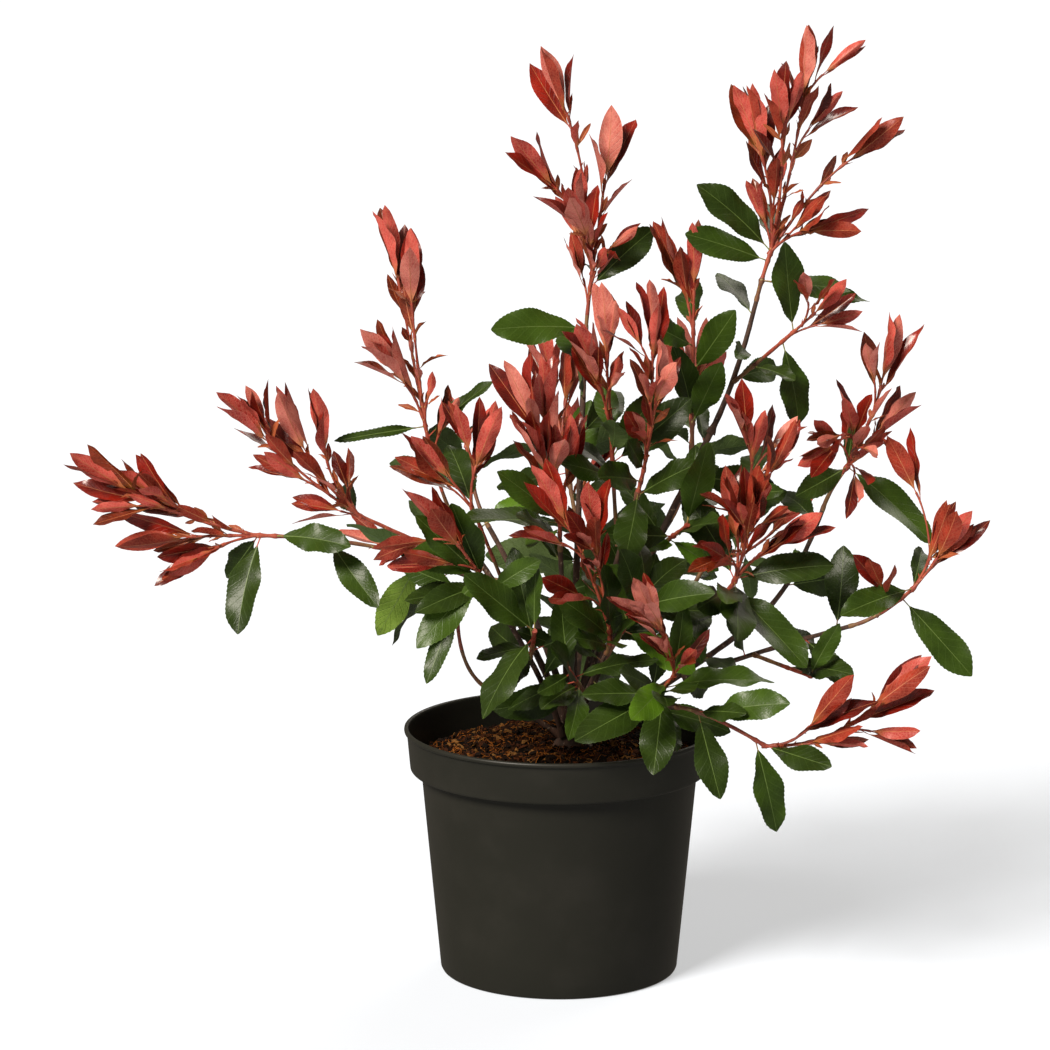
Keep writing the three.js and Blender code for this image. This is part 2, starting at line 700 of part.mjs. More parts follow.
function add(name, shape, finish) {
  const mesh = new THREE.Mesh(shape, new THREE.MeshStandardMaterial(finish));
  mesh.name = name;
  group.add(mesh);
}

function addPotAndBase() {
  add("pot", turned(potOutline()), PLASTIC);
  add("potting_mix", turned(mixOutline()), MIX);
  add("stem_base", baseShape(), BARK);
}

function addLimbs() {
  Object.entries(LIMBS).forEach(growLimb);
  for (const [name, row] of Object.entries(LIMBS)) {
    add(name, taper(paths[name], row.radius, LIMB_SIDES, LIMB_ROW_STEP), BARK);
  }
}

// Twigs take their space first, then the leaves that stand out, then all the others
function addSprays() {
  const sprays = Object.entries(SPRAYS).map(growTwigs);
  for (const spray of sprays) {
    for (const place of spray.row.shown ?? []) growShownLeaf(spray, place);
  }
  sprays.forEach((spray, index) => growLeaves(spray, index + 1));
  for (const spray of sprays) {
    const finish = spray.shoots.length > 0 ? YOUNG_FOLIAGE : GREEN_FOLIAGE;
    add(`spray_${spray.name}`, sprayShape(spray), finish);
  }
}

addPotAndBase();
addLimbs();
addSprays();

export default group;
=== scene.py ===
# Potted red-tipped photinia: an evergreen shrub with coppery red young shoots, in a black nursery pot.
# Blender metres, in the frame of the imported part. The plant's own tables are in millimetres, +Z up,
# and -Y is the front. Limbs, stems, shoots and leaves grow here by the rule of the part's source, and
# the shoots are carried on to the small leaves and bud scales that the solids leave out.

import json
import math

import bpy
import numpy as np
from mathutils import Matrix, Vector, noise

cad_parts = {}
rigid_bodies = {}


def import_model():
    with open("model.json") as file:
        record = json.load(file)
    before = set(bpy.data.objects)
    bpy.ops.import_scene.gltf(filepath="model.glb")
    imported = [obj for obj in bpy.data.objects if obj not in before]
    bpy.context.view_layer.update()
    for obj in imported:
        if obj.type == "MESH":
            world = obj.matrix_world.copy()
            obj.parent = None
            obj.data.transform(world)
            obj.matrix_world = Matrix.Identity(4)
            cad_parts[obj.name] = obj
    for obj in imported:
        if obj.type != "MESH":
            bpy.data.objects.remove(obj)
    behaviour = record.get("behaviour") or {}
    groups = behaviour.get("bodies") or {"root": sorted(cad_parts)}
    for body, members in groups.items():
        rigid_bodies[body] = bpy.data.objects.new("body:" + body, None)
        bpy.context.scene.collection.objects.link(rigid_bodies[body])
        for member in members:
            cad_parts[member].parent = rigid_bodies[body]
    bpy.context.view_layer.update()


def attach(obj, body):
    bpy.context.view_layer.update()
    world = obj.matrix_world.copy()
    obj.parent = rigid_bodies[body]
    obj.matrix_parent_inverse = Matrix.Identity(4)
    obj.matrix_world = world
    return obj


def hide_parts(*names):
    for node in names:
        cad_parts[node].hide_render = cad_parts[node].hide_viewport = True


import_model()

MM = 0.001

# Limbs: where each starts, on the top of the stem base out from its middle, on its flank at a
# height, or along another limb, then the place of its tip, its upward bow and its end radii
LIMBS = {
    "centre_limb": dict(ring=0, end=(20, 20, 503), bow=20, radius=(3.2, 2.2)),
    "right_limb": dict(ring=7, turn=0, end=(122, 25, 437), bow=10, radius=(3.3, 2.5)),
    "back_right_limb": dict(ring=7, turn=60, end=(92, 88, 352), bow=34, radius=(3, 2.1)),
    "back_left_limb": dict(ring=7, turn=120, end=(-58, 84, 348), bow=36, radius=(3, 2.1)),
    "left_limb": dict(ring=7, turn=180, end=(-71, -10, 348), bow=26, radius=(3.1, 2.2)),
    "centre_left_limb": dict(ring=7, turn=240, end=(0, -50, 356), bow=24, radius=(2.7, 1.9)),
    "middle_limb": dict(ring=7, turn=300, end=(58, -36, 386), bow=20, radius=(2.8, 2)),
    "low_right_limb": dict(flank=12, turn=-8, end=(150, 0, 280), bow=-8, radius=(3, 2.3)),
    "front_right_limb": dict(flank=9, turn=308, end=(92, -103, 240), bow=20, radius=(2.7, 2)),
    "front_limb": dict(flank=12, turn=275, end=(37, -75, 278), bow=16, radius=(2.5, 1.9)),
    "front_left_limb": dict(flank=11, turn=232, end=(-50, -80, 318), bow=24, radius=(2.6, 1.9)),
    "low_left_limb": dict(flank=8, turn=196, end=(-58, -30, 238), bow=0, radius=(2.2, 1.8)),
    "low_back_limb": dict(flank=10, turn=88, end=(22, 92, 268), bow=20, radius=(2.7, 2)),
    "right_top_limb": dict(parent="right_limb", at=1, end=(157, 25, 544), bow=0, radius=(2.4, 1.9)),
    "right_inner_limb": dict(parent="right_limb", at=0.42, end=(124, -48, 318), bow=10, radius=(2.2, 1.8)),
    "right_bough": dict(parent="low_right_limb", at=1, end=(211, 10, 377), bow=0, radius=(2.2, 1.9)),
    "far_right_bough": dict(parent="low_right_limb", at=0.62, end=(232, -34, 290), bow=4, radius=(2.2, 1.8)),
    "left_low_bough": dict(parent="left_limb", at=0.8, end=(-114, -34, 345), bow=2, radius=(2, 1.8)),
}

# Sprays: the limb each grows on, at its tip or part of the way along, the node that its shoots fork from,
# how many mature leaves sit below the node and at what scale, the tips that its shoots reach, the tips of
# the leaves that stand out of it, some with their width, and the tips of its finer shoots
SPRAYS = {
    "left_low": dict(
        on="left_low_bough", node=(-239, -60, 368), leaves=1,
        tips=[(-382, -80, 435), (-350, -60, 420), (-348, -70, 366), (-304, -105, 345)],
        shown=[(-257, -92, 298), (-162, -88, 370), (-146, -96, 316, 0.34)],
        fine=[(-353, -64, 422), (-328, -90, 424), (-365, -70, 396), (-309, -110, 343)],
    ),
    "left_middle": dict(
        on="left_limb", at=0.9, node=(-160, -35, 380), leaves=1,
        tips=[(-264, -60, 485), (-224, -40, 483), (-192, -52, 484), (-165, -10, 429)],
        fine=[(-244, -50, 486), (-242, -40, 427), (-211, -36, 392)],
    ),
    "left_high": dict(
        on="left_limb", node=(-107, -10, 450), leaves=0,
        tips=[(-139, 5, 620), (-120, -15, 605), (-152, -30, 530), (-98, -25, 492)],
        shown=[(-175, -34, 434, 0.14), (-54, -26, 486, 0.22)],
        fine=[(-80, -30, 474), (-116, -40, 443), (-146, -30, 518)],
    ),
    "left_inner": dict(
        on="left_limb", at=0.62, node=(-70, -56, 392), leaves=3,
        tips=[(-47, -50, 472)],
        fine=[(-87, -60, 475), (-117, -70, 449), (-127, -60, 434)],
    ),
    "left_front": dict(
        on="front_left_limb", node=(-62, -104, 345), leaves=3,
        tips=[(-115, -140, 420)],
        shown=[(-127, -112, 371, 0.34), (-120, -120, 331, 0.3), (-113, -128, 393, 0.3), (-81, -120, 405),
                  (-63, -136, 398, 0.34)],
        fine=[(-145, -120, 364), (-100, -128, 404), (-133, -124, 352)],
    ),
    "low_left": dict(
        on="low_left_limb", node=(-80, -44, 326), leaves=1, scale=0.62,
        shown=[(-101, -70, 251, 0.26), (-109, -66, 281), (-122, -75, 302)],
    ),
    "centre_left": dict(
        on="centre_left_limb", node=(0, -62, 380), leaves=5,
        tips=[(-42, -88, 512), (-16, -62, 510), (12, -72, 466), (-28, -118, 470)],
        fine=[(-41, -112, 473), (-1, -108, 464), (-31, -70, 496)],
        shown=[(-48, -96, 426, 0.32), (-31, -110, 390, 0.34)],
    ),
    "top_centre": dict(
        on="centre_limb", node=(26, 20, 567), leaves=1,
        tips=[(-14, 0, 746), (44, 40, 694), (-40, -10, 676), (2, -34, 640), (62, -4, 604)],
        shown=[(-54, -4, 525), (-32, 32, 565, 0.26), (72, 50, 598)],
        fine=[(14, 10, 649), (20, -10, 616), (-3, 40, 623), (36, -20, 591), (8, 30, 596)],
    ),
    "centre_high": dict(
        on="middle_limb", at=0.84, node=(40, -48, 446), leaves=4,
        tips=[(30, -44, 566), (12, -84, 540)],
        fine=[(44, -60, 554), (19, -90, 518), (47, -90, 514)],
        shown=[(-1, -90, 433, 0.3), (74, -50, 486)],
    ),
    "middle": dict(
        on="middle_limb", node=(66, -46, 420), leaves=4,
        tips=[(70, -80, 573), (79, -104, 530)],
        shown=[(108, -70, 428), (50, -95, 355)],
        fine=[(44, -70, 550), (61, -100, 504), (58, -90, 472)],
    ),
    "front_v": dict(
        on="front_limb", node=(38, -88, 300), leaves=4,
        tips=[(-21, -124, 437), (18, -138, 427)],
        shown=[(30, -130, 355), (11, -120, 298), (-4, -128, 331), (58, -118, 311)],
        fine=[(-31, -134, 388), (12, -156, 391), (-12, -150, 336), (23, -160, 369)],
    ),
    "front_low": dict(
        on="front_right_limb", at=0.8, node=(88, -117, 269), leaves=4,
        tips=[(52, -158, 355)],
        shown=[(12, -140, 222), (70, -150, 199), (45, -140, 280), (102, -156, 266), (82, -158, 254)],
        fine=[(39, -166, 344), (64, -160, 353), (69, -165, 312), (102, -150, 300), (56, -172, 337)],
    ),
    "low_right": dict(
        on="front_right_limb", node=(160, -126, 214), leaves=1,
        tips=[(223, -148, 279), (284, -112, 286)],
        shown=[(165, -132, 148), (118, -146, 178), (175, -150, 257), (140, -152, 245)],
        fine=[(277, -120, 215), (237, -138, 221)],
    ),
    "upper_twig": dict(
        on="right_limb", at=0.9, node=(106, 12, 520), leaves=2,
        tips=[(76, 10, 608), (106, 4, 607)],
        shown=[(123, -12, 498), (150, -40, 470), (93, 0, 510), (140, -20, 537)],
    ),
    "top_right": dict(
        on="right_top_limb", node=(168, 25, 582), leaves=1,
        tips=[(197, 10, 761), (138, 30, 713), (169, -14, 729), (274, 50, 684), (236, -20, 606)],
        shown=[(111, 20, 637), (99, 0, 595), (228, 0, 551), (247, 40, 535, 0.16)],
        fine=[(238, 20, 750), (189, 0, 726), (221, 26, 709), (150, 34, 713), (176, 26, 664),
                 (146, 20, 638), (209, 0, 628)],
    ),
    "right_high": dict(
        on="right_top_limb", at=0.45, node=(185, -13, 523), leaves=1,
        tips=[(226, -30, 564)],
        shown=[(184, -30, 486), (191, 10, 445)],
        fine=[(238, -20, 537), (188, -54, 576)],
    ),
    "right_inner": dict(
        on="right_inner_limb", node=(138, -60, 334), leaves=3,
        tips=[(130, -40, 420), (150, -104, 434), (204, -92, 392)],
        shown=[(185, -112, 272), (107, -120, 321), (213, -60, 348), (136, -136, 301)],
        fine=[(109, -108, 413), (135, -112, 406), (184, -92, 464), (175, -110, 402), (99, -118, 372),
                 (160, -114, 423), (118, -126, 362)],
    ),
    "right_upper": dict(
        on="right_inner_limb", at=0.72, node=(150, -16, 400), leaves=3,
        tips=[(144, -34, 463)],
        fine=[(190, -14, 453), (130, -50, 480), (180, -40, 436)],
    ),
    "right": dict(
        on="right_bough", node=(230, 5, 412), leaves=1,
        tips=[(269, 10, 533), (285, 36, 466), (224, -50, 477)],
        shown=[(296, -20, 356), (189, -30, 391)],
        fine=[(240, -20, 515), (198, -30, 455), (187, -56, 419), (249, -60, 434), (256, -20, 445),
                 (233, -60, 392), (198, -70, 441)],
    ),
    "far_right": dict(
        on="far_right_bough", node=(280, -46, 324), leaves=1,
        tips=[(320, -60, 390), (302, -50, 395)],
        shown=[(319, -70, 255), (218, -80, 311), (296, -90, 288)],
        fine=[(258, -24, 441), (239, -84, 356), (326, -50, 374)],
    ),
    "low_right_leaves": dict(
        on="far_right_bough", at=0.45, node=(196, -92, 262), leaves=1,
        shown=[(228, -110, 270), (142, -125, 291)],
    ),
    "front_left_leaves": dict(
        on="front_left_limb", at=0.6, node=(-20, -98, 300), leaves=5,
        shown=[(-47, -120, 256), (-76, -130, 345)],
    ),
    "front_middle_leaves": dict(
        on="front_limb", at=0.75, node=(66, -96, 330), leaves=6,
        shown=[(118, -124, 338), (82, -120, 361), (49, -126, 373)],
    ),
    "middle_leaves": dict(
        on="right_limb", at=0.6, node=(100, -58, 376), leaves=5,
        shown=[(108, -84, 445), (125, -84, 385), (79, -60, 482)],
    ),
    "low_front_leaves": dict(
        on="front_limb", at=0.5, node=(6, -96, 270), leaves=6, scale=0.85,
        shown=[(-7, -122, 289), (30, -126, 248), (-18, -112, 245)],
    ),
    "back_left_high": dict(
        on="back_left_limb", node=(-76, 112, 412), leaves=4,
        tips=[(-92, 140, 446), (-50, 128, 440)],
    ),
    "back_left_low": dict(
        on="back_left_limb", at=0.7, node=(-118, 92, 316), leaves=5,
        tips=[(-172, 120, 352)],
    ),
    "back_centre": dict(
        on="low_back_limb", node=(14, 138, 344), leaves=7,
        tips=[(8, 170, 440), (44, 186, 402)],
    ),
    "back_low": dict(
        on="low_back_limb", at=0.72, node=(24, 166, 262), leaves=7,
        tips=[(30, 228, 308)],
    ),
    "back_right_high": dict(
        on="back_right_limb", node=(110, 118, 424), leaves=5,
        tips=[(124, 150, 510), (84, 136, 500)],
    ),
    "back_right_low": dict(
        on="back_right_limb", at=0.7, node=(156, 122, 318), leaves=5,
        tips=[(216, 148, 372)],
    ),
    "back_middle": dict(
        on="centre_limb", at=0.55, node=(2, 66, 424), leaves=6,
        tips=[(-16, 78, 520), (22, 92, 510)],
    ),
}

# Stem base that the limbs rise from
MIX_TOP = 188
BASE_PLACE = (10, -5)
BASE_HEIGHT = 22
BASE_FLARE_RADIUS = 13.5
BASE_RADIUS = 10.5
BASE_FLARE_HEIGHT = 14

# Gap that the solids keep, and how far a limb or stem here is sunk into what bears it
GAP = 0.3
SINK = 3.2

# How far along its way a limb, a stem and a shoot have their knee, which bends them
LIMB_KNEE = 0.45
TWIG_KNEE = 0.4
SHOOT_KNEE = 0.6

# A path's length is measured over so many steps
BEND_STEPS = 50

# Radius of a stem's foot, of the node, of a shoot at both ends, and of a finer shoot
STEM_RADIUS = (1.75, 1.5)
SHOOT_RADIUS = (1.35, 0.75)
FINE_RADIUS = (0.95, 0.65)

# A finer shoot forks from one of so many seats between these shares of the stem or of a shoot. It takes
# the seat that costs least: the way to its tip, what that falls short of a least way, at a rate, and its
# turn. One that would still be too short is left out. Its first marks lie in the fork, and aren't tested
FINE_SEATS = 15
FINE_FROM_STEM = 0.35
FINE_FROM_SHOOT = 0.05
FINE_TO = 0.95
FINE_LEAST = 60
FINE_SLACK = 9
FINE_TURN = 70
FINE_SHORTEST = 38
FINE_FORKED = 2

# Leaves turn round their stem by this angle from one to the next
SPIRAL = 137.5

# Kinds of leaf: length, width as a part of it, powers that shape the outline's base and tip, petiole as
# a part of the length, its radius, fold of the two halves, angle from the stem, arch, roll, spacing, bare
# foot of the twig, width of a tooth, its depth, thickness of the blade and depth of its waves
MATURE = {
    "length": (44, 84), "width": (0.33, 0.44), "base": 1.0, "tip": 0.8, "petiole": 0.11, "stalk": 0.55,
    "fold": (5, 24), "angle": (42, 78), "arch": (0.04, 0.42), "roll": 34, "spacing": 10, "bare": 8,
    "tooth": 3.4, "depth": 0.6, "thick": 0.4, "wave": 0.08,
}
YOUNG = {
    "length": (54, 80), "width": (0.26, 0.37), "base": 1.25, "tip": 1.02, "petiole": 0.1, "stalk": 0.42,
    "fold": (12, 54), "angle": (5, 21), "arch": (-0.16, 0.14), "roll": 34, "spacing": 10.5, "bare": 16,
    "tooth": 4, "depth": 0.16, "thick": 0.3, "wave": 0.05,
}
LEAFLET = {
    "length": (8, 25), "width": (0.28, 0.4), "base": 0.95, "tip": 1.0, "petiole": 0.12, "stalk": 0.3,
    "fold": (10, 50), "angle": (14, 52), "arch": (-0.3, 0.5), "roll": 60, "spacing": 27, "bare": 4,
    "tooth": 6, "depth": 0.12, "thick": 0.25, "wave": 0.09,
}

# The leaf that ends a shoot or a finer shoot, its most share of a short one, and the side that it shows
TIP_LENGTH = 58
FINE_TIP = 50
TIP_SHARE = 0.62
TIP_WIDTH = 0.3
TIP_ARCH = 0.04
TIP_FACING = (0.4, 1, 0)

# A leaf that stands out of its spray: usual length, arch, usual width, and where on the stem it may sit
SHOWN_LENGTH = 72
SHOWN_ARCH = 0.16
SHOWN_WIDTH = 0.38
SHOWN_SEATS = (0.3, 0.4, 0.5, 0.6, 0.7, 0.8, 0.9, 0.97)

# Blades face up and out to the light, to the front before this middle plane and to the back behind it.
# Young leaves stand up round their shoot, with the upper side to the shoot. They turn to the light by this
# share, and spread by so many degrees more down the shoot
LIGHT = (0.3, 0.9, 0.7)
CROWN_MIDDLE = 50
YOUNG_TO_LIGHT = 0.5
YOUNG_SPREAD = 20

# Turns round a twig are counted from the side that lies nearest to this direction
TURN_FROM = (1, 0.2, 0)

# A leaf whose space is taken is turned on by this angle, and left out after so many tries
TRY_TURN = 47
TRIES = 5

# The first leaf of a spiral sits this share of a spacing short of the twig's tip
FIRST_LEAF = 0.2

# Where young leaves sit under a shoot's tip, how far down they have shrunk to the least size, how many
# leaflets break from one bud and how far they scatter, and the places and sizes of a finer shoot's leaves
YOUNG_STEPS = (3, 9, 18, 36, 70, 112)
YOUNG_FADE = 66
YOUNG_LEAST = 0.3
TUFT = 2
TUFT_SCATTER = 2
FINE_STEPS = (3, 10)
FINE_SIZES = (0.68, 1)
FINE_BARE = 3

# Leaves that sprout straight from the limbs inside the crown: where along a limb, their spacing, how far
# short of its tip the last one stays for that, their size, and how far to the left limbs still bear them
LIMB_LEAVES = {"first": 0.28, "spacing": 25, "short": 0.5, "scale": 0.85, "left": -55}

# Room that leaves, twigs and limbs keep round the marks along them, and that all keep round the pot, the
# marks' spacing and least number, the cells that they are sorted into, and the pot's size
LEAF_ROOM = 1.7
TWIG_ROOM = 1.6
LIMB_ROOM = 0.8
POT_ROOM = 5
MARK_STEP = 6
LEAST_MARKS = 2
CELL = 8
POT_HEIGHT = 200
POT_RIM_RADIUS = 125

# Distance that leaves of one spray keep from each other beyond their roots
KIN_ROOM = 2.2
KIN_ROOT = 18

# Marks lie across a leaf at these shares of its half width, where it is broad and where it is narrow.
# The first rows of them lie on its petiole and are left out
BARE_ROWS = 2
BROAD_HALF = 4
BROAD_SHARES = (-0.9, 0, 0.9)
NARROW_SHARES = (-0.5, 0.5)
MARKED_HALF = 0.46
MARKED_ENDS = (0.04, 0.96)

UP = Vector((0, 0, 1))


# The dice roll by a linear congruence
DICE_FACTOR = 1664525
DICE_STEP = 1013904223
DICE_FACES = 2**32


def dice(seed):
    """Repeatable draws between two values."""
    state = [seed]

    def draw(low, high):
        state[0] = (state[0] * DICE_FACTOR + DICE_STEP) % DICE_FACES
        return low + (high - low) * state[0] / DICE_FACES

    return draw


def mix(ends, share):
    return ends[0] + (ends[1] - ends[0]) * share


def square_to(direction, hint):
    """The part of a hint that is square to a direction."""
    return (hint - direction * hint.dot(direction)).normalized()


def turned(vector, axis, degrees):
    return Matrix.Rotation(math.radians(degrees), 3, axis) @ vector


class Bend:
    """A path from its start to its end, drawn to a knee between them. last is its end leaf's length."""

    def __init__(self, start, knee, end, last=0):
        self.start, self.knee, self.end, self.last = start, knee, end, last
        steps = [self.point(i / BEND_STEPS) for i in range(BEND_STEPS + 1)]
        self.length = sum((b - a).length for a, b in zip(steps, steps[1:]))

    def point(self, t):
        return self.start * (1 - t) ** 2 + self.knee * (2 * t * (1 - t)) + self.end * t**2

    def tangent(self, t):
        return ((self.knee - self.start) * (1 - t) + (self.end - self.knee) * t).normalized()


# Limbs and twigs take their space first, then leaves. Each mark is a place with the room that it keeps
taken = {}


def cell_of(place):
    return (int(place.x // CELL), int(place.y // CELL), int(place.z // CELL))


def claim(marks, owner):
    for place, room, _ in marks:
        taken.setdefault(cell_of(place), []).append((place.x, place.y, place.z, room, owner))


def over_pot(place):
    near = math.hypot(place.x, place.y) < POT_RIM_RADIUS + POT_ROOM
    return near and place.z < POT_HEIGHT + POT_ROOM


NEIGHBOURS = [(i, j, k) for i in (-1, 0, 1) for j in (-1, 0, 1) for k in (-1, 0, 1)]


def is_open(place, room, depth, friends, kin):
    """True where nothing but friends lies near a mark. Leaves of one spray may touch near their roots."""
    x, y, z = place
    i, j, k = cell_of(place)
    for a, b, c in NEIGHBOURS:
        for px, py, pz, other_room, owner in taken.get((i + a, j + b, k + c), ()):
            if owner in friends:
                continue
            if owner == kin:
                if depth < KIN_ROOT:
                    continue
                reach = KIN_ROOM
            else:
                reach = room + other_room
            if (px - x) ** 2 + (py - y) ** 2 + (pz - z) ** 2 < reach * reach:
                return False
    return True


def is_free(marks, friends, kin=None):
    return all(not over_pot(m[0]) and is_open(*m, friends, kin) for m in marks)


def marks_along(path, room):
    rows = max(LEAST_MARKS, round(path.length / MARK_STEP))
    return [(path.point(i / rows), room, 0) for i in range(rows + 1)]


def midrib(leaf, u):
    place = leaf["root"] + leaf["heading"] * (leaf["length"] * u)
    return place - leaf["face"] * (leaf["arch"] * leaf["length"] * u * u)


def marks_on(leaf):
    side = leaf["heading"].cross(leaf["face"])
    rows = math.ceil(leaf["length"] / MARK_STEP)
    marks = []
    for row in range(BARE_ROWS, rows + 1):
        u = row / rows
        bulge = math.sin(math.pi * mix(MARKED_ENDS, u))
        half = leaf["width"] * leaf["length"] * MARKED_HALF * bulge
        middle = midrib(leaf, u)
        for share in BROAD_SHARES if half > BROAD_HALF else NARROW_SHARES:
            marks.append((middle + side * (half * share), LEAF_ROOM, u * leaf["length"]))
    return marks


paths = {}


def rising_path(seat, normal, radius, end, bow):
    """Starts just clear of what bears it, and bends at its knee to reach its tip."""
    knee = seat.lerp(end, LIMB_KNEE) + UP * bow
    heading = (knee - seat).normalized()
    tilt = math.sqrt(1 - heading.dot(normal) ** 2)
    start = seat + normal * (radius * tilt + GAP)
    return Bend(start, start + heading * ((start - end).length * LIMB_KNEE), end)


def base_radius(height):
    """Radius of the stem base at a height, with its flare at the ground."""
    flare = max(0, 1 - height / BASE_FLARE_HEIGHT)
    return mix((BASE_RADIUS, BASE_FLARE_RADIUS), flare**2)


def base_path(row):
    turn = math.radians(row.get("turn", 0))
    out = Vector((math.cos(turn), math.sin(turn), 0))
    seat = Vector((*BASE_PLACE, MIX_TOP + GAP))
    on_flank = "flank" in row
    seat += out * (base_radius(row["flank"]) if on_flank else row["ring"])
    seat += UP * (row["flank"] if on_flank else BASE_HEIGHT)
    return rising_path(seat, out if on_flank else UP, row["radius"][0], Vector(row["end"]), row["bow"])


def tip_path(parent, end):
    """Carries on from a limb's tip."""
    along = paths[parent].tangent(1)
    start = paths[parent].point(1) + along * GAP
    return Bend(start, start + along * ((end - start).length * TWIG_KNEE), end)


def side_path(parent, at, radius, end, bow):
    """Leaves the side of a limb."""
    seat = paths[parent].point(at)
    normal = square_to(paths[parent].tangent(at), end - seat)
    seat += normal * mix(LIMBS[parent]["radius"], at)
    return rising_path(seat, normal, radius, end, bow)


def limb_path(row):
    end = Vector(row["end"])
    if "parent" not in row:
        return base_path(row)
    if row["at"] == 1:
        return tip_path(row["parent"], end)
    return side_path(row["parent"], row["at"], row["radius"][0], end, row["bow"])


def fork_path(start, seat, along, tip, longest):
    """A shoot forks at a seat and turns to its tip, which its last leaf reaches."""
    out = tip - seat
    leaving = (out.normalized() + along).normalized()
    last = min(longest, out.length * TIP_SHARE)
    knee = seat + leaving * ((out.length - last) * SHOOT_KNEE)
    return Bend(start, knee, tip - (tip - knee).normalized() * last, last)


def shoot_path(stem, place):
    """A shoot starts inside the node, at the end of the stem."""
    node, heading = stem.point(1), stem.tangent(1)
    return fork_path(node - heading * STEM_RADIUS[1], node, heading, Vector(place), TIP_LENGTH)


def grow_twigs(name, row):
    """A stem runs from its limb to the node. A shoot that would touch another is left out."""
    node, at = Vector(row["node"]), row.get("at", 1)
    if at == 1:
        stem = tip_path(row["on"], node)
    else:
        stem = side_path(row["on"], at, STEM_RADIUS[0], node, 0)
    claim(marks_along(stem, TWIG_ROOM), name)
    shoots = []
    for place in row.get("tips", ()):
        shoot = shoot_path(stem, place)
        marks = marks_along(shoot, TWIG_ROOM)
        if is_free(marks, (name, row["on"])):
            shoots.append(shoot)
    for shoot in shoots:
        claim(marks_along(shoot, TWIG_ROOM), name)
    return {"name": name, "row": row, "stem": stem, "shoots": shoots, "fine": [], "leaves": []}


def grow_fine(spray):
    """Finer shoots fork from the stem and the shoots, each on its way to its own tip."""
    twigs = [(spray["stem"], FINE_FROM_STEM), *((shoot, FINE_FROM_SHOOT) for shoot in spray["shoots"])]
    spread = [i / (FINE_SEATS - 1) for i in range(FINE_SEATS)]
    for place in spray["row"].get("fine", ()):
        tip = Vector(place)
        seats = [(twig, mix((low, FINE_TO), share)) for twig, low in twigs for share in spread]

        def cost(seat):
            out = tip - seat[0].point(seat[1])
            slack = max(0, FINE_LEAST - out.length) * FINE_SLACK
            return out.length + slack + FINE_TURN * (1 - seat[0].tangent(seat[1]).dot(out.normalized()))

        twig, u = min(seats, key=cost)
        seat = twig.point(u)
        if (tip - seat).length < FINE_SHORTEST:
            continue
        shoot = fork_path(seat, seat, twig.tangent(u), tip, FINE_TIP)
        if is_free(marks_along(shoot, TWIG_ROOM)[FINE_FORKED:], (spray["name"], spray["row"]["on"])):
            claim(marks_along(shoot, TWIG_ROOM), spray["name"])
            spray["fine"].append(shoot)


def to_light(place):
    """Blades face up and out to the light."""
    x, y, z = LIGHT
    return Vector((math.copysign(x, place.x), -y if place.y < CROWN_MIDDLE else y, z))


def seat_leaf(spray, leaf):
    """Adds a leaf to its spray if its space is free."""
    kin = spray["name"] + " leaves"
    marks = marks_on(leaf)
    if not is_free(marks, (spray["name"],), kin):
        return False
    claim(marks, kin)
    spray["leaves"].append(leaf)
    return True


def grow_shown_leaf(spray, place, width=SHOWN_WIDTH):
    """A mature leaf that reaches a given place, from where the stem is a leaf's length from it."""
    tip = Vector(place)
    roots = [spray["stem"].point(u) for u in SHOWN_SEATS]
    root = min(roots, key=lambda seat: abs((seat - tip).length - SHOWN_LENGTH))
    length, out = (tip - root).length, (tip - root).normalized()
    rise = square_to(out, to_light(root)) * SHOWN_ARCH
    heading = (out + rise).normalized()
    leaf = {"kind": MATURE, "root": root, "heading": heading, "face": square_to(heading, rise)}
    seat_leaf(spray, leaf | {"length": length, "width": width, "arch": SHOWN_ARCH, "fresh": 0})


def grow_leaf(spray, kind, twig, distance, turn, draw, scale=1, spread=0):
    """One leaf of the spiral, at a distance along a twig and turned round it."""
    u = distance / twig.length
    root, along = twig.point(u), twig.tangent(u)
    side = square_to(along, Vector(TURN_FROM))
    reach = twig.last + twig.length - distance if kind is YOUNG else math.inf
    length = min(draw(*kind["length"]) * scale, reach)
    width = draw(*kind["width"])
    angle = math.radians(draw(*kind["angle"]) + spread)
    arch = draw(*kind["arch"])
    roll = draw(-kind["roll"], kind["roll"])
    for attempt in range(TRIES):
        out = turned(side, along, turn + attempt * TRY_TURN)
        heading = along * math.cos(angle) + out * math.sin(angle)
        hint = to_light(root) if kind is MATURE else to_light(root) * YOUNG_TO_LIGHT - out
        face = turned(square_to(heading, hint), heading, roll)
        leaf = {"kind": kind, "root": root, "heading": heading, "face": face}
        if seat_leaf(spray, leaf | {"length": length, "width": width, "arch": arch}):
            return


def tip_leaf(shoot):
    heading = shoot.tangent(1)
    face = square_to(heading, Vector(TIP_FACING))
    leaf = {"kind": YOUNG, "root": shoot.point(1), "heading": heading, "face": face}
    return leaf | {"length": shoot.last, "width": TIP_WIDTH, "arch": TIP_ARCH}


def down(twig, kind, count):
    """Distances along a twig of so many leaves, from its tip down."""
    places = [twig.length - (i + FIRST_LEAF) * kind["spacing"] for i in range(count)]
    return [place for place in places if place > kind["bare"]]


def down_shoot(shoot):
    """Places of young leaves, crowded under a shoot's tip and sparse towards its foot."""
    return [shoot.length - step for step in YOUNG_STEPS if shoot.length - step > YOUNG["bare"]]


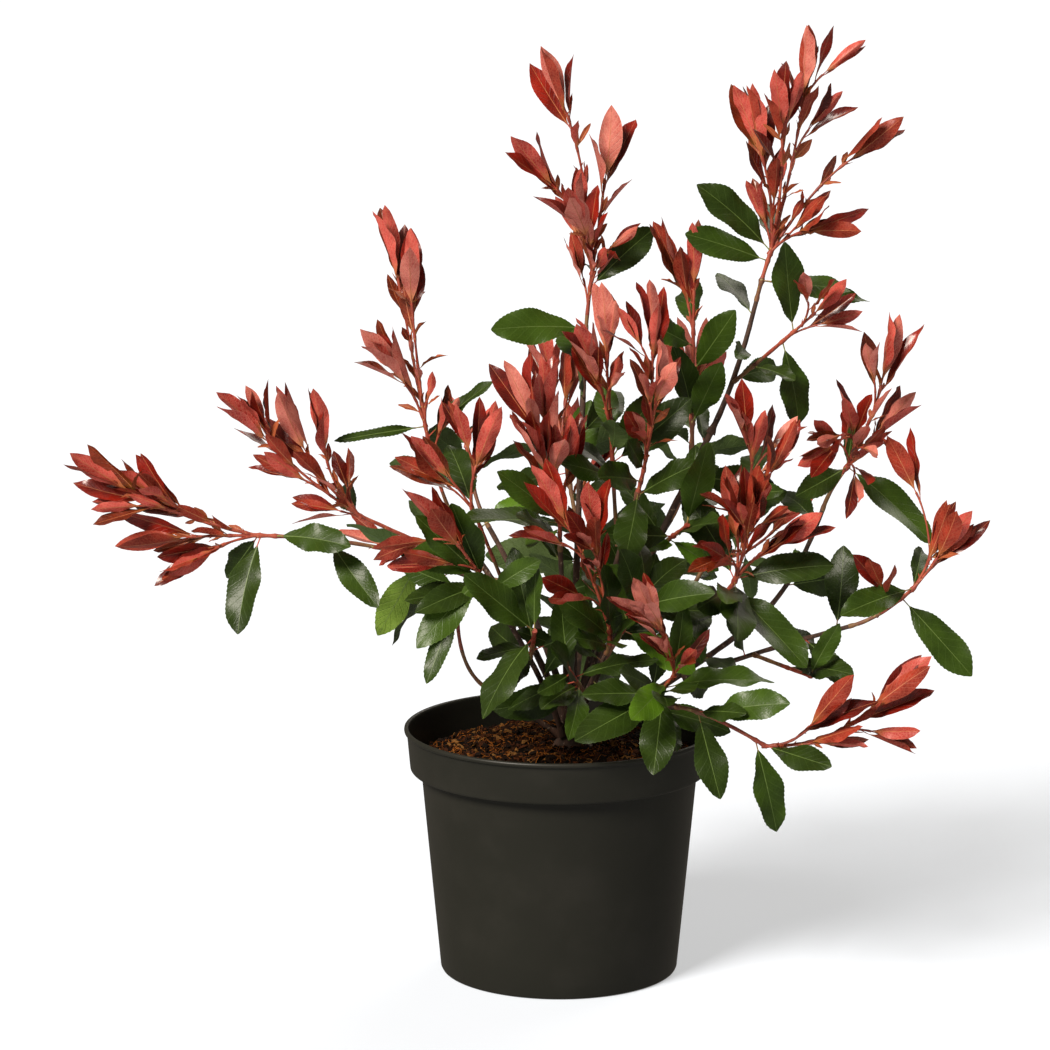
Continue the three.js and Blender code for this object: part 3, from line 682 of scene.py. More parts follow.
def grow_leaves(spray, seed):
    """Mature leaves go down the stem, young leaves down each shoot, and leaflets at a shoot's foot."""
    draw = dice(seed)
    turn = draw(0, 360)
    row, stem = spray["row"], spray["stem"]
    for distance in down(stem, MATURE, row["leaves"]):
        grow_leaf(spray, MATURE, stem, distance, turn, draw, row.get("scale", 1))
        turn += SPIRAL
    for shoot in spray["shoots"]:
        spray["leaves"].append(tip_leaf(shoot))
        for distance in down_shoot(shoot):
            below = min(1, (shoot.length - distance) / YOUNG_FADE)
            size = mix((1, YOUNG_LEAST), below)
            grow_leaf(spray, YOUNG, shoot, distance, turn, draw, size, YOUNG_SPREAD * below)
            turn += SPIRAL
        for distance in down(shoot, LEAFLET, math.ceil(shoot.length / LEAFLET["spacing"])):
            for _ in range(TUFT):
                scatter = draw(-TUFT_SCATTER, TUFT_SCATTER)
                grow_leaf(spray, LEAFLET, shoot, distance + scatter, turn, draw)
                turn += SPIRAL
    for shoot in spray["fine"]:
        spray["leaves"].append(tip_leaf(shoot))
        for step in FINE_STEPS:
            if shoot.length - step > FINE_BARE:
                grow_leaf(spray, YOUNG, shoot, shoot.length - step, turn, draw, draw(*FINE_SIZES), step)
                turn += SPIRAL


def grow_limb_leaves(name, seed):
    draw = dice(seed)
    limb = paths[name]
    spray = {"name": name, "leaves": []}
    turn = draw(0, 360)
    open_side = LIMBS[name]["end"][0] < LIMB_LEAVES["left"]
    count = 0 if open_side else int(limb.length * (1 - LIMB_LEAVES["first"]) / LIMB_LEAVES["spacing"])
    for i in range(count):
        distance = limb.length - (i + LIMB_LEAVES["short"]) * LIMB_LEAVES["spacing"]
        grow_leaf(spray, MATURE, limb, distance, turn, draw, LIMB_LEAVES["scale"])
        turn += SPIRAL
    return spray["leaves"]


def placed(name, data):
    """An object in the scene that shows a mesh, a lamp or a camera."""
    made = bpy.data.objects.new(name, data)
    bpy.context.scene.collection.objects.link(made)
    return made


class Shape:
    """Triangles gathered into one mesh, each with its finish and its place on the leaf."""

    def __init__(self, finishes):
        self.finishes = finishes
        self.places, self.faces, self.kinds, self.spots = [], [], [], []
        self.count = 0

    def add(self, rings, finish, spots=None):
        """Joins a row of rings of places into a closed skin. finish is a name, or one for each side."""
        rows, sides = rings.shape[:2]
        index = np.arange(rows * sides).reshape(rows, sides)
        across = np.roll(index, -1, 1)
        skin = np.stack([index[:-1], across[:-1], across[1:], index[1:]], -1)
        half = sides // 2  # faces that lie back to back are cut along the same line
        skin[:, half - 1 : sides - 1] = np.roll(skin[:, half - 1 : sides - 1], 1, -1)
        step = np.arange(half - 1)
        lid = np.stack([step, step + 1, sides - 2 - step, sides - 1 - step], -1)
        quads = np.concatenate([skin.reshape(-1, 4), lid + (rows - 1) * sides, lid[:, ::-1]])
        names = [finish] * sides if isinstance(finish, str) else finish
        kinds = np.array([self.finishes.index(name) for name in names])
        ends = np.full(len(lid), kinds[0])
        self.places.append(rings.reshape(-1, 3))
        self.faces.append(quads[:, [0, 1, 2, 0, 2, 3]].reshape(-1, 3) + self.count)
        self.kinds.append(np.repeat(np.concatenate([np.tile(kinds, rows - 1), ends, ends]), 2))
        self.spots.append(np.zeros((rows * sides, 2)) if spots is None else spots.reshape(-1, 2))
        self.count += rows * sides

    def piece(self, name, slot, replaced=(), crease=60):
        """Makes the gathered faces a piece of the part."""
        places = np.concatenate(self.places) * MM
        faces = np.concatenate(self.faces).astype(np.int32)
        mesh = bpy.data.meshes.new(name)
        mesh.vertices.add(len(places))
        mesh.vertices.foreach_set("co", places.astype(np.float32).ravel())
        mesh.loops.add(faces.size)
        mesh.loops.foreach_set("vertex_index", faces.ravel())
        mesh.polygons.add(len(faces))
        mesh.polygons.foreach_set("loop_start", np.arange(0, faces.size, 3, dtype=np.int32))
        mesh.polygons.foreach_set("material_index", np.concatenate(self.kinds).astype(np.int32))
        spots = mesh.uv_layers.new(name="place_on_leaf")
        spots.data.foreach_set("uv", np.concatenate(self.spots)[faces.ravel()].astype(np.float32).ravel())
        mesh.update(calc_edges=True)
        mesh.shade_smooth()
        mesh.set_sharp_from_angle(angle=math.radians(crease))
        for finish in self.finishes:
            mesh.materials.append(MATERIALS[finish])
        made = placed(name, mesh)
        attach(made, "root")
        if replaced:
            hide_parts(*replaced)


# The first direction across a path is the one that is square to this hint as well. A limb or twig has at
# least so many rings past its foot
ACROSS_HINT = (0.2, 1, 0.35)
LEAST_RINGS = 3


def frames_along(centres):
    """Two directions square to a path at each of its places, carried along without twist."""
    along = np.gradient(centres, axis=0)
    along /= np.linalg.norm(along, axis=1)[:, None]
    side = np.cross(along[0], ACROSS_HINT)
    sides = []
    for direction in along:
        side = side - direction * (side @ direction)
        side = side / np.linalg.norm(side)
        sides.append(side)
    sides = np.array(sides)
    return sides, np.cross(along, sides)


def rings_along(centres, radii, count):
    """Rings of places round a path. radii holds one value for each place, or one row of values."""
    sides, ups = frames_along(centres)
    turn = np.arange(count) * 2 * math.pi / count
    across = sides[:, None] * np.cos(turn)[None, :, None] + ups[:, None] * np.sin(turn)[None, :, None]
    radii = np.asarray(radii)
    return centres[:, None] + across * (radii[:, :, None] if radii.ndim > 1 else radii[:, None, None])


def sunk(path, step):
    """Places along a path, with one more behind its start so that it grows out of what bears it."""
    rows = max(LEAST_RINGS, round(path.length / step))
    places = [path.start - path.tangent(0) * SINK, *(path.point(i / rows) for i in range(rows + 1))]
    return np.array([tuple(place) for place in places])


# A blade's teeth: the least number, and where on its share of the margin a tooth has its notch and point
LEAST_TEETH = 3
NOTCH_AT = 0.08
POINT_AT = 0.78

# How soon teeth, fold and wave grow to their full size where a blade widens, and the least fold
TEETH_FADE = 2
FOLD_FADE = 1.5
WAVE_FADE = 1.6
FOLD_LEAST = 0.2

# Least half width of a blade, half width of its midrib and the blade's thickness, at its foot and its tip
LEAST_HALF = (0.18, 0.06)
RIB_HALF = (0.48, 0.1)
RIB_IN = 0.6
THINNING = (1, 0.35)

# How far a blade bends aside, twists in degrees, cups across, waves, and lifts its edge with the wave
SIDE_BEND = 0.09
TWIST = 24
CUP = 0.2
WAVES = (1.3, 2.6)
WAVE_HEIGHT = 0.35
EDGE_LIFT = 0.4
ANY_TURN = (0, 6.28)

# A ring's places between midrib and margin, and the midrib's ridge below as a part of the petiole
CREASE_AT = 0.55
RIDGE = 0.45

# Petiole: how far it runs on under the blade, where its last place lies, its swelling, and its sides
PETIOLE_ON = 0.03
PETIOLE_END = 0.6
PETIOLE_SWELL = (1.45, 1, 0.95, 0.7)
PETIOLE_SIDES = 6


def blade_outline(kind, length, width):
    """Places of notches and teeth along a blade, how broad it is there for its widest, and its half width."""
    teeth = max(LEAST_TEETH, round(length * (1 - kind["petiole"]) / kind["tooth"]))
    points = (np.arange(teeth) + POINT_AT) / teeth
    s = np.sort(np.concatenate([(np.arange(teeth) + NOTCH_AT) / teeth, points, [1]]))
    s[0] = 0
    peak = kind["base"] / (kind["base"] + kind["tip"])
    broad = (s / peak) ** kind["base"] * ((1 - s) / (1 - peak)) ** kind["tip"]
    tooth = np.where(np.isin(s, points), 0.5, -0.5) * kind["depth"] * np.clip(broad * TEETH_FADE, 0, 1)
    half = np.maximum(broad * width * length / 2 + tooth, mix(LEAST_HALF, s))
    half[0] = kind["stalk"]
    return s, broad, half


def leaf_rings(leaf, draw):
    """A leaf's blade, upper and under side, as rings of ten places, with their spots on the leaf."""
    kind, length = leaf["kind"], leaf["length"]
    s, broad, half = blade_outline(kind, length, leaf["width"])

    # Midrib, and the directions along, across and off the blade at each ring
    u = kind["petiole"] + (1 - kind["petiole"]) * s
    root, heading, face = (np.array(leaf[part]) for part in ("root", "heading", "face"))
    side = np.cross(heading, face)
    bend = draw(-SIDE_BEND, SIDE_BEND)
    middle = root + np.outer(u * length, heading) + np.outer(bend * length * u * u, side)
    middle -= np.outer(leaf["arch"] * length * u * u, face)
    along = heading - np.outer(2 * leaf["arch"] * u, face) + np.outer(2 * bend * u, side)
    along /= np.linalg.norm(along, axis=1)[:, None]
    twist = math.radians(draw(-TWIST, TWIST)) * s
    flat = side - along * (along @ side)[:, None]
    flat /= np.linalg.norm(flat, axis=1)[:, None]
    up = np.cross(flat, along)
    lie = flat * np.cos(twist)[:, None] + up * np.sin(twist)[:, None]
    rise = up * np.cos(twist)[:, None] - flat * np.sin(twist)[:, None]

    # Six places across the upper side, folded up at the midrib, cupped and waved
    rib = mix(RIB_HALF, s) / np.maximum(half, RIB_IN)
    ones = np.ones_like(s)
    x = np.stack([-ones, -CREASE_AT * ones, -rib, rib, CREASE_AT * ones, ones], 1)
    fold = math.radians(draw(*kind["fold"])) * np.clip(broad * FOLD_FADE, FOLD_LEAST, 1)
    wave = kind["wave"] * np.sin(draw(*WAVES) * 2 * math.pi * s + draw(*ANY_TURN))
    lateral = half[:, None] * x * np.cos(fold)[:, None]
    lift = half[:, None] * (np.abs(x) * np.sin(fold)[:, None] - CUP * x**2)
    calm = np.clip(broad * WAVE_FADE, 0, 1)[:, None]
    edge = wave[:, None] * np.sign(x) + EDGE_LIFT * kind["wave"]
    lift += calm * length * WAVE_HEIGHT * edge * x**2
    top = middle[:, None] + lateral[..., None] * lie[:, None] + lift[..., None] * rise[:, None]

    # Four places back across the under side, with the midrib's ridge
    depth = kind["thick"] * mix(THINNING, s)
    ridge = depth + RIDGE * kind["stalk"] * (1 - s)
    below = np.stack([depth, ridge, ridge, depth], 1)
    under = top[:, 4:0:-1] - below[..., None] * rise[:, None]
    across = 0.5 + 0.5 * np.concatenate([x, x[:, 4:0:-1]], 1)
    spots = np.stack([across, np.repeat(s[:, None], 10, 1)], -1)
    return np.concatenate([top, under], 1), spots


def add_leaf(shape, leaf, tint, draw):
    """One leaf with its petiole. tint names the finishes of its two sides, midrib and petiole."""
    rings, spots = leaf_rings(leaf, draw)
    upper, under, rib, stalk = tint
    sides = [under, rib, under, under, upper, upper, rib, upper, upper, under]
    shape.add(rings[:, ::-1], sides, spots[:, ::-1])
    kind = leaf["kind"]
    way = np.linspace(0, kind["petiole"] + PETIOLE_ON, len(PETIOLE_SWELL))
    foot = np.array([tuple(midrib(leaf, u)) for u in way])
    blade = rings[0].mean(0), rings[1].mean(0)
    foot[-1] = mix(blade, PETIOLE_END)
    foot[-2] = (foot[-2] + blade[0]) / 2
    radii = np.array(PETIOLE_SWELL) * kind["stalk"]
    shape.add(rings_along(foot, radii, PETIOLE_SIDES), stalk)


def linear(code):
    """An sRGB hex colour as linear values with full alpha."""
    parts = [int(code[i : i + 2], 16) / 255 for i in (1, 3, 5)]
    return (*(c / 12.92 if c <= 0.04045 else ((c + 0.055) / 1.055) ** 2.4 for c in parts), 1)


def set_inputs(tree, node, inputs):
    """Links or sets each input of a node by its name or number."""
    for name, value in inputs.items():
        if isinstance(value, bpy.types.NodeSocket):
            tree.links.new(value, node.inputs[name])
        else:
            node.inputs[name].default_value = value


def add_node(tree, kind, inputs=None, out=0, **settings):
    """Adds a node with its settings and inputs, and gives one of its outputs by its name or number."""
    made = tree.nodes.new(kind)
    for name, value in settings.items():
        setattr(made, name, value)
    set_inputs(tree, made, inputs or {})
    return made.outputs[out]


# Kinds of node, and the setting that makes a Map Range soft at both ends
NOISE = "ShaderNodeTexNoise"
MAP_RANGE = "ShaderNodeMapRange"
MATH = "ShaderNodeMath"
SOFT = {"interpolation_type": "SMOOTHSTEP"}


def start_material(name):
    """A material, its tree, and the part's own coordinates."""
    material = bpy.data.materials.new(name)
    material.use_nodes = True
    return material, material.node_tree, add_node(material.node_tree, "ShaderNodeTexCoord", out="Object")


def patches(tree, place, size_mm, levels, detail=3, roughness=0.6, stretch=None):
    """Soft patches of a size: 0 where the noise is under the first level, and 1 past the second."""
    if stretch:
        place = add_node(tree, "ShaderNodeMapping", {"Vector": place, "Scale": stretch})
    inputs = {"Vector": place, "Scale": 1 / (size_mm * MM), "Detail": detail, "Roughness": roughness}
    inputs = {"Value": add_node(tree, NOISE, inputs), "From Min": levels[0], "From Max": levels[1]}
    return add_node(tree, MAP_RANGE, inputs, **SOFT)


def layered(tree, tint, layers):
    """Lays colours over a first one: each has a mask, its strength from 0 to 1, and its hex code."""
    colour = linear(tint)
    for mask, strength, code in layers:
        if strength < 1:
            mask = add_node(tree, MATH, {0: mask, 1: strength}, operation="MULTIPLY")
        inputs = {0: mask, 6: colour, 7: linear(code)}
        colour = add_node(tree, "ShaderNodeMix", inputs, out=2, data_type="RGBA")
    return colour


def finished(material, colour, reliefs, look):
    """Gives a material its colour, its reliefs, each a height with its depth in mm, and its look."""
    tree = material.node_tree
    normal = {}
    for height, depth_mm in reliefs:
        inputs = {"Height": height, "Distance": depth_mm * MM, "Strength": 1} | normal
        normal = {"Normal": add_node(tree, "ShaderNodeBump", inputs)}
    set_inputs(tree, tree.nodes["Principled BSDF"], {"Base Color": colour} | normal | look)
    return material


# Side veins stand about 8 mm apart on a mature leaf, and sweep in a curve from the midrib to the tip.
# The cells of the net between them are drawn at 2.2 mm, coarser than life, where they are about 1 mm, so
# that they show. Widths are shares of the way from one vein to the next
VEIN_PAIRS = 9
VEIN_SLANT = 3.4
VEIN_CURVE = 0.8
VEIN_WIDTH = 0.1
NET_MM = 2.2
NET_WIDTH = 0.22
NET_BULGE = 0.45
NET_RELIEF_MM = 0.07

# Margin and foot of a blade, on which 0.5 is the edge across it and 1 is the tip along it
MARGIN_FROM = 0.47
MARGIN_SHARE = 0.35
FOOT_TO = 0.3

# Drifts of a leaf's tint, broad ones and mottling, with the levels of noise that they lie between
BLOTCH_MM = 26
BLOTCH_LEVELS = (0.36, 0.64)
MOTTLE_MM = 9
MOTTLE_LEVELS = (0.45, 0.62)
MOTTLE_SHARE = 0.4

# The wax of a leaf's skin
LEAF_IOR = 1.45
COAT_ROUGHNESS = 0.2


def leaf_masks(tree, place):
    """Where a leaf has a side vein, a fine vein, the bulge among fine veins, its margin and its foot."""
    spot = add_node(tree, "ShaderNodeUVMap", uv_map="place_on_leaf")
    split = add_node(tree, "ShaderNodeSeparateXYZ", {0: spot}).node
    along = split.outputs["Y"]
    aside = add_node(tree, MATH, {0: split.outputs["X"], 1: 0.5}, operation="SUBTRACT")
    across = add_node(tree, MATH, {0: aside}, operation="ABSOLUTE")
    curve = add_node(tree, MATH, {0: across, 1: VEIN_CURVE}, operation="POWER")
    swept = add_node(tree, MATH, {0: curve, 1: VEIN_SLANT}, operation="MULTIPLY")
    pair = add_node(tree, MATH, {0: along, 1: VEIN_PAIRS}, operation="MULTIPLY")
    phase = add_node(tree, MATH, {0: pair, 1: swept}, operation="SUBTRACT")
    off_vein = add_node(tree, MATH, {0: phase, 1: 0.5}, operation="PINGPONG")
    cells = {"Vector": place, "Scale": 1 / (NET_MM * MM)}
    off_line = add_node(tree, "ShaderNodeTexVoronoi", cells, out="Distance", feature="DISTANCE_TO_EDGE")
    measures = {
        "vein": (off_vein, VEIN_WIDTH, 0),
        "line": (off_line, NET_WIDTH, 0),
        "bulge": (off_line, 0, NET_BULGE),
        "margin": (across, MARGIN_FROM, 0.5),
        "foot": (along, FOOT_TO, 0),
    }
    masks = {}
    for name, (value, low, high) in measures.items():
        inputs = {"Value": value, "From Min": low, "From Max": high}
        masks[name] = add_node(tree, MAP_RANGE, inputs, **SOFT)
    return masks


def leaf_side(name, colours, roughness, coat=0, gloss=0.2, relief=0.12, veins=0.2, net=0.2):
    """One side of a leaf: tint that drifts and is mottled, veins, margin, foot and relief. The foot takes
    the tint where it has no colour of its own."""
    material, tree, place = start_material(name)
    tint, shade, vein, foot = (*colours, colours[0])[:4]
    masks = leaf_masks(tree, place)
    layers = [
        (patches(tree, place, BLOTCH_MM, BLOTCH_LEVELS, 2), 1, shade),
        (patches(tree, place, MOTTLE_MM, MOTTLE_LEVELS, 4, 0.75), MOTTLE_SHARE, shade),
        (masks["line"], net, vein),
        (masks["vein"], veins, vein),
        (masks["margin"], MARGIN_SHARE, vein),
        (masks["foot"], 1, foot),
    ]
    reliefs = [(masks["bulge"], NET_RELIEF_MM), (masks["vein"], -relief)]
    look = {
        "Roughness": roughness,
        "IOR": LEAF_IOR,
        "Specular IOR Level": gloss,
        "Coat Weight": coat,
        "Coat Roughness": COAT_ROUGHNESS,
    }
    return finished(material, layered(tree, tint, layers), reliefs, look)


# Streaks run along a shoot, and its breathing pores are half their size
STREAK_LEVELS = (0.35, 0.65)
STREAK_STRETCH = (1, 1, 0.25)
PORE_LEVELS = (0.66, 0.74)
PORE_SHARE = 0.5


def twig_skin(name, tint, shade, fleck, roughness, grain_mm, relief):
    """Young bark: tint streaked along the shoot, with pale breathing pores."""
    material, tree, place = start_material(name)
    streak = patches(tree, place, grain_mm, STREAK_LEVELS, stretch=STREAK_STRETCH)
    pores = patches(tree, place, grain_mm * PORE_SHARE, PORE_LEVELS, 1)
    colour = layered(tree, tint, [(streak, 1, shade), (pores, 1, fleck)])
    return finished(material, colour, [(streak, relief)], {"Roughness": roughness})


# Streaks on crumbs, then crumbs of peat in the mix, its hollows, painted near black as shade and lying where
# the noise is low, and its pale flecks: sizes, levels of noise and relief. The peat's near-black ground shows
# where its relief is low, as painted shade between the crumbs
CRUMB_STREAK_MM = 2
CRUMB_RELIEF_MM = 0.2
PEAT_MM = 4
PEAT_LEVELS = (0.4, 0.66)
PEAT_RELIEF_MM = 1.2
HOLLOW_SHADE_MM = 16
HOLLOW_SHADE_LEVELS = (0.52, 0.4)
FLECK_MM = 2.2
FLECK_LEVELS = (0.66, 0.72)

# The pot's dust, its roughness where clean and where dusty, and its moulded grain
DUST_MM = 60
DUST_LEVELS = (0.4, 0.8)
POT_ROUGHNESS = (0.4, 0.48)
GRAIN_MM = 0.9
GRAIN_RELIEF_MM = 0.03


def loose_stuff(name, tint, shade):
    """A crumb of bark or a strand of coir, streaked and dry."""
    material, tree, place = start_material(name)
    streak = patches(tree, place, CRUMB_STREAK_MM, STREAK_LEVELS)
    look = {"Roughness": 0.85, "Specular IOR Level": 0.1}
    return finished(material, layered(tree, tint, [(streak, 1, shade)]), [(streak, CRUMB_RELIEF_MM)], look)


def pot_plastic():
    """Injection-moulded polypropylene, black and satin, with a fine moulded grain and dust."""
    material, tree, place = start_material("polypropylene_moulded")
    dust = patches(tree, place, DUST_MM, DUST_LEVELS, 4)
    inputs = {"Value": dust, "To Min": POT_ROUGHNESS[0], "To Max": POT_ROUGHNESS[1]}
    dulled = add_node(tree, MAP_RANGE, inputs)
    inputs = {"Vector": place, "Scale": 1 / (GRAIN_MM * MM), "Detail": 2, "Roughness": 0.6}
    grain = add_node(tree, NOISE, inputs)
    look = {"Roughness": dulled, "IOR": 1.49, "Specular IOR Level": 0.26}
    colour = layered(tree, "#1f1f1a", [(dust, 1, "#25241f")])
    return finished(material, colour, [(grain, GRAIN_RELIEF_MM)], look)


def mix_ground():
    """Peat and coir: dark crumbs, reddish fibre and pale flecks, drawn at the size of real crumbs. Its
    near-black ground, where the relief is low, and its hollows are painted shade.
    """
    material, tree, place = start_material("potting_mix_coir")
    inputs = {"Vector": place, "Scale": 1 / (PEAT_MM * MM), "Detail": 5, "Roughness": 0.7}
    peat = add_node(tree, NOISE, inputs)
    inputs = {"Value": peat, "From Min": PEAT_LEVELS[0], "From Max": PEAT_LEVELS[1]}
    # Reddish peat on the raised relief, over a near-black ground in the low parts: dark peat darkened as
    # painted shade between the crumbs
    layers = [
        (add_node(tree, MAP_RANGE, inputs, **SOFT), 1, "#2a1506"),
        # Near-black patches in the hollows: painted shade
        (patches(tree, place, HOLLOW_SHADE_MM, HOLLOW_SHADE_LEVELS, 2), 1, "#050200"),
        (patches(tree, place, FLECK_MM, FLECK_LEVELS, 2), 1, "#6a3e18"),
    ]
    look = {"Roughness": 0.95, "Specular IOR Level": 0.08}
    return finished(material, layered(tree, "#070301", layers), [(peat, PEAT_RELIEF_MM)], look)


# Leaf sides: tint, the shade that it drifts to, veins and, where it differs, the foot of the blade.
# Mature leaf, upper side: a waxy cuticle over dark green, which gives broad soft highlights
UPPER_GREENS = {
    "mature_upper_dark": ("#27370b", "#1e2c07", "#485e2a"),
    "mature_upper_mid": ("#2d400c", "#243508", "#50682e"),
    "mature_upper_fresh": ("#364c10", "#2e420c", "#5a7434"),
    "mature_upper_bright": ("#486812", "#3f5c0e", "#728e3c"),
}

# Mature leaf, under side: matte, grey-green and bloomed
UNDER_GREENS = {
    "mature_under_grey": ("#46572a", "#3e4e24", "#627448"),
    "mature_under_pale": ("#566c32", "#4c602b", "#7a8c50"),
    "mature_under_lit": ("#5e7826", "#526a20", "#849840"),
}

# Young leaf, upper side: glossy and deep red, as new leaves are before they green
UPPER_REDS = {
    "young_upper_deep": ("#6a1006", "#3e0602", "#8c2817", "#682610"),
    "young_upper_crimson": ("#8c1a0c", "#5c0c04", "#a83a26", "#84381a"),
    "young_upper_bronze": ("#78260c", "#481404", "#9a4a28", "#6e481a"),
}

# Young leaf, under side: matte coral with fine veins
UNDER_REDS = {
    "young_under_coral": ("#cc7264", "#aa4c42", "#dc9a84", "#c07c4c"),
    "young_under_rose": ("#bc4a40", "#942a22", "#cc7c68", "#ac6a3a"),
    "young_under_rust": ("#983020", "#6e1c10", "#ae5c42", "#905426"),
}

# Leaflet that breaks from a bud: satin bronze on both sides
BRONZES = {"leaflet_bronze": ("#9a4a2a", "#7e3a20", "#b8704a", "#8f6a30")}

# Roughness of each kind of leaf side, its coat of wax, its gloss, the veins' relief in mm, which is
# below 0 where they stand out, and how strongly veins and net are tinted
LEAF_SIDES = (
    (UPPER_GREENS, dict(roughness=0.38, coat=0.05, gloss=0.26, relief=0.08, veins=0.14, net=0.06)),
    (UNDER_GREENS, dict(roughness=0.6, relief=-0.3)),
    (UPPER_REDS, dict(roughness=0.36, coat=0.4, gloss=0.42, relief=0.3, veins=0.28, net=0.16)),
    (UNDER_REDS, dict(roughness=0.45, coat=0.04, gloss=0.25, relief=-0.16, veins=0.32, net=0.24)),
    (BRONZES, dict(roughness=0.5)),
)

# Skins: tint, streaks, pores, roughness, size of the streaks in mm and their relief in mm. Midribs and
# petioles are smooth and waxy, red shoots are satin, and wood dulls and roughens as it ripens to bark
TWIG_SKINS = {
    "rib_green": ("#556a2c", "#485c24", "#66783c", 0.5, 3, 0.02),
    "rib_red": ("#b0683f", "#9c5434", "#c48a58", 0.5, 3, 0.02),
    "petiole_green": ("#7c8a3c", "#86563a", "#94a052", 0.5, 4, 0.03),
    "petiole_red": ("#b04a36", "#9a3a2a", "#c87850", 0.45, 4, 0.03),
    "shoot_red": ("#a04a34", "#843426", "#b88a4c", 0.5, 5, 0.08),
    "stem_olive": ("#7c5a34", "#6e4230", "#9c8c50", 0.6, 6, 0.12),
    "bark_brown": ("#53382a", "#33231a", "#7b6857", 0.8, 5, 0.3),
}

# Loose stuff on the mix, dull and dry: rotted bark is nearly black, fresh bark red or pale, coir ginger
LOOSE_STUFF = {
    "bark_chip_dark": ("#180b04", "#0c0502"),
    "bark_chip_red": ("#3c1c08", "#261104"),
    "bark_chip_pale": ("#745028", "#543616"),
    "coir_strand": ("#804a18", "#4c270a"),
}

MATERIALS = {name: leaf_side(name, row, **look) for rows, look in LEAF_SIDES for name, row in rows.items()}
MATERIALS |= {name: twig_skin(name, *row) for name, row in TWIG_SKINS.items()}
MATERIALS |= {name: loose_stuff(name, *row) for name, row in LOOSE_STUFF.items()}
MATERIALS |= {"polypropylene_moulded": pot_plastic(), "potting_mix_coir": mix_ground()}


# Pot profile: radius and height up the outside from the underside, over the rolled rim and down
POT_PROFILE = (
    (0.5, 1.2), (60, 1.2), (84, 1.2), (87, 0), (93.5, 0), (95.2, 0.6), (96, 2.2), (98.4, 27), (102, 65),
    (105.8, 105.5), (109, 139.5), (111, 161.2), (111.25, 163.6), (111.6, 164.7), (112.4, 165.4),
    (118.4, 165.7), (119.5, 166), (120.1, 166.8), (120.3, 168.2), (121.2, 178), (122.5, 192.6),
    (122.75, 195), (123.1, 195.8), (124.2, 196.2), (124.8, 196.9), (125, 198), (124.8, 199.2), (124, 199.9),
    (122.9, 200), (122, 199.7), (121.4, 198.9), (121.1, 197.4), (120.6, 191), (119.3, 176), (118.6, 169.6),
    (118.1, 168.2), (117, 167.6), (110.9, 167.4), (110, 166.8), (109.5, 165.2), (107.8, 147), (100.4, 66),
    (94, 4), (92, 2.8), (60, 2.8), (0.5, 2.8),
)
POT_SIDES = 160

# Potting mix: profile of the dome from its middle out, then down the wall to the floor
MIX_DOME = ((0, 188), (26, 188), (56, 187), (84, 183), (104, 177.5), (113, 173.5), (118, 170.5))
MIX_SIDE = ((117.6, 168.3), (109.4, 168), (108.7, 165), (107, 147), (99.8, 66), (93, 5.5), (60, 4), (0.5, 4))
MIX_ON_STEP = (105, 168.6)
MIX_SIDES = 240
MIX_FIRST = 0.6
MIX_STEP = 1.7

# Lumps and crumbs of the mix: height, size and the layer of noise that each is cut from. Lumps sink by
# this much in all, and fade out round the stem base, from a radius and over a width
MIX_LUMPS = ((4.4, 20, 3), (3.2, 7, 9))
MIX_CRUMBS = ((1.8, 3.1, 5),)
MIX_SETTLED = 1.8
MIX_CALM = (4, 20)


def lathe(profile, sides):
    """Rings of places round the upright axis through each point of a profile."""
    turn = np.arange(sides) * 2 * math.pi / sides
    radius, height = (np.array(values)[:, None] for values in zip(*profile))
    return np.stack([radius * np.cos(turn), radius * np.sin(turn), height + 0 * turn], -1)


def heaped(x, y, kinds):
    return sum(height * noise.noise(Vector((x, y, layer)) / size) for height, size, layer in kinds)


def mix_height(x, y):
    """Height of the potting mix at a place: the dome with its lumps and crumbs."""
    r = math.hypot(x, y)
    level = np.interp(r, *zip(*MIX_DOME))
    calm = min(1, max(0, (r - MIX_CALM[0]) / MIX_CALM[1]))
    least = MIX_ON_STEP[1] if r > MIX_ON_STEP[0] else 0
    lumps = (heaped(x, y, MIX_LUMPS) - MIX_SETTLED) * calm
    return max(least, level + lumps + heaped(x, y, MIX_CRUMBS))


def make_pot():
    shape = Shape(["polypropylene_moulded"])
    shape.add(lathe(POT_PROFILE, POT_SIDES)[:, ::-1], "polypropylene_moulded")
    shape.piece("nursery_pot", "pot_plastic", ["pot"], crease=50)


def make_mix():
    shape = Shape(["potting_mix_coir"])
    radii = np.arange(MIX_FIRST, MIX_DOME[-1][0], MIX_STEP)
    rings = lathe([(r, 0) for r in radii] + list(MIX_SIDE), MIX_SIDES)
    for ring in rings[: len(radii)]:
        for place in ring:
            place[2] = mix_height(place[0], place[1])
    shape.add(rings, "potting_mix_coir")
    shape.piece("mix_surface", "potting_mix", ["potting_mix"], crease=80)


# Flakes of bark: how many, how far out, seed, and their measures. Lengths are drawn as square roots, so
# that short ones are common, thickness is a part of the width, and tilts are in radians about x and y
CHIPS = 1900
CHIP_REACH = 115
CHIP_SEED = 71
CHIP_ROOTS = (0.8, 2.3)
CHIP_LENGTH = 0.9
CHIP_WIDTHS = (0.6, 2.4)
CHIP_DEPTHS = (0.3, 0.6)
CHIP_TILTS = {"X": (-0.8, 0.8), "Y": (-0.6, 0.6)}
CHIP_RINGS = ((-1, 0.55), (-0.4, 1), (0.5, 0.9), (1, 0.4))
CHIP_CHANGE = (0.75, 1.2)
CHIP_LIFT = 0.6

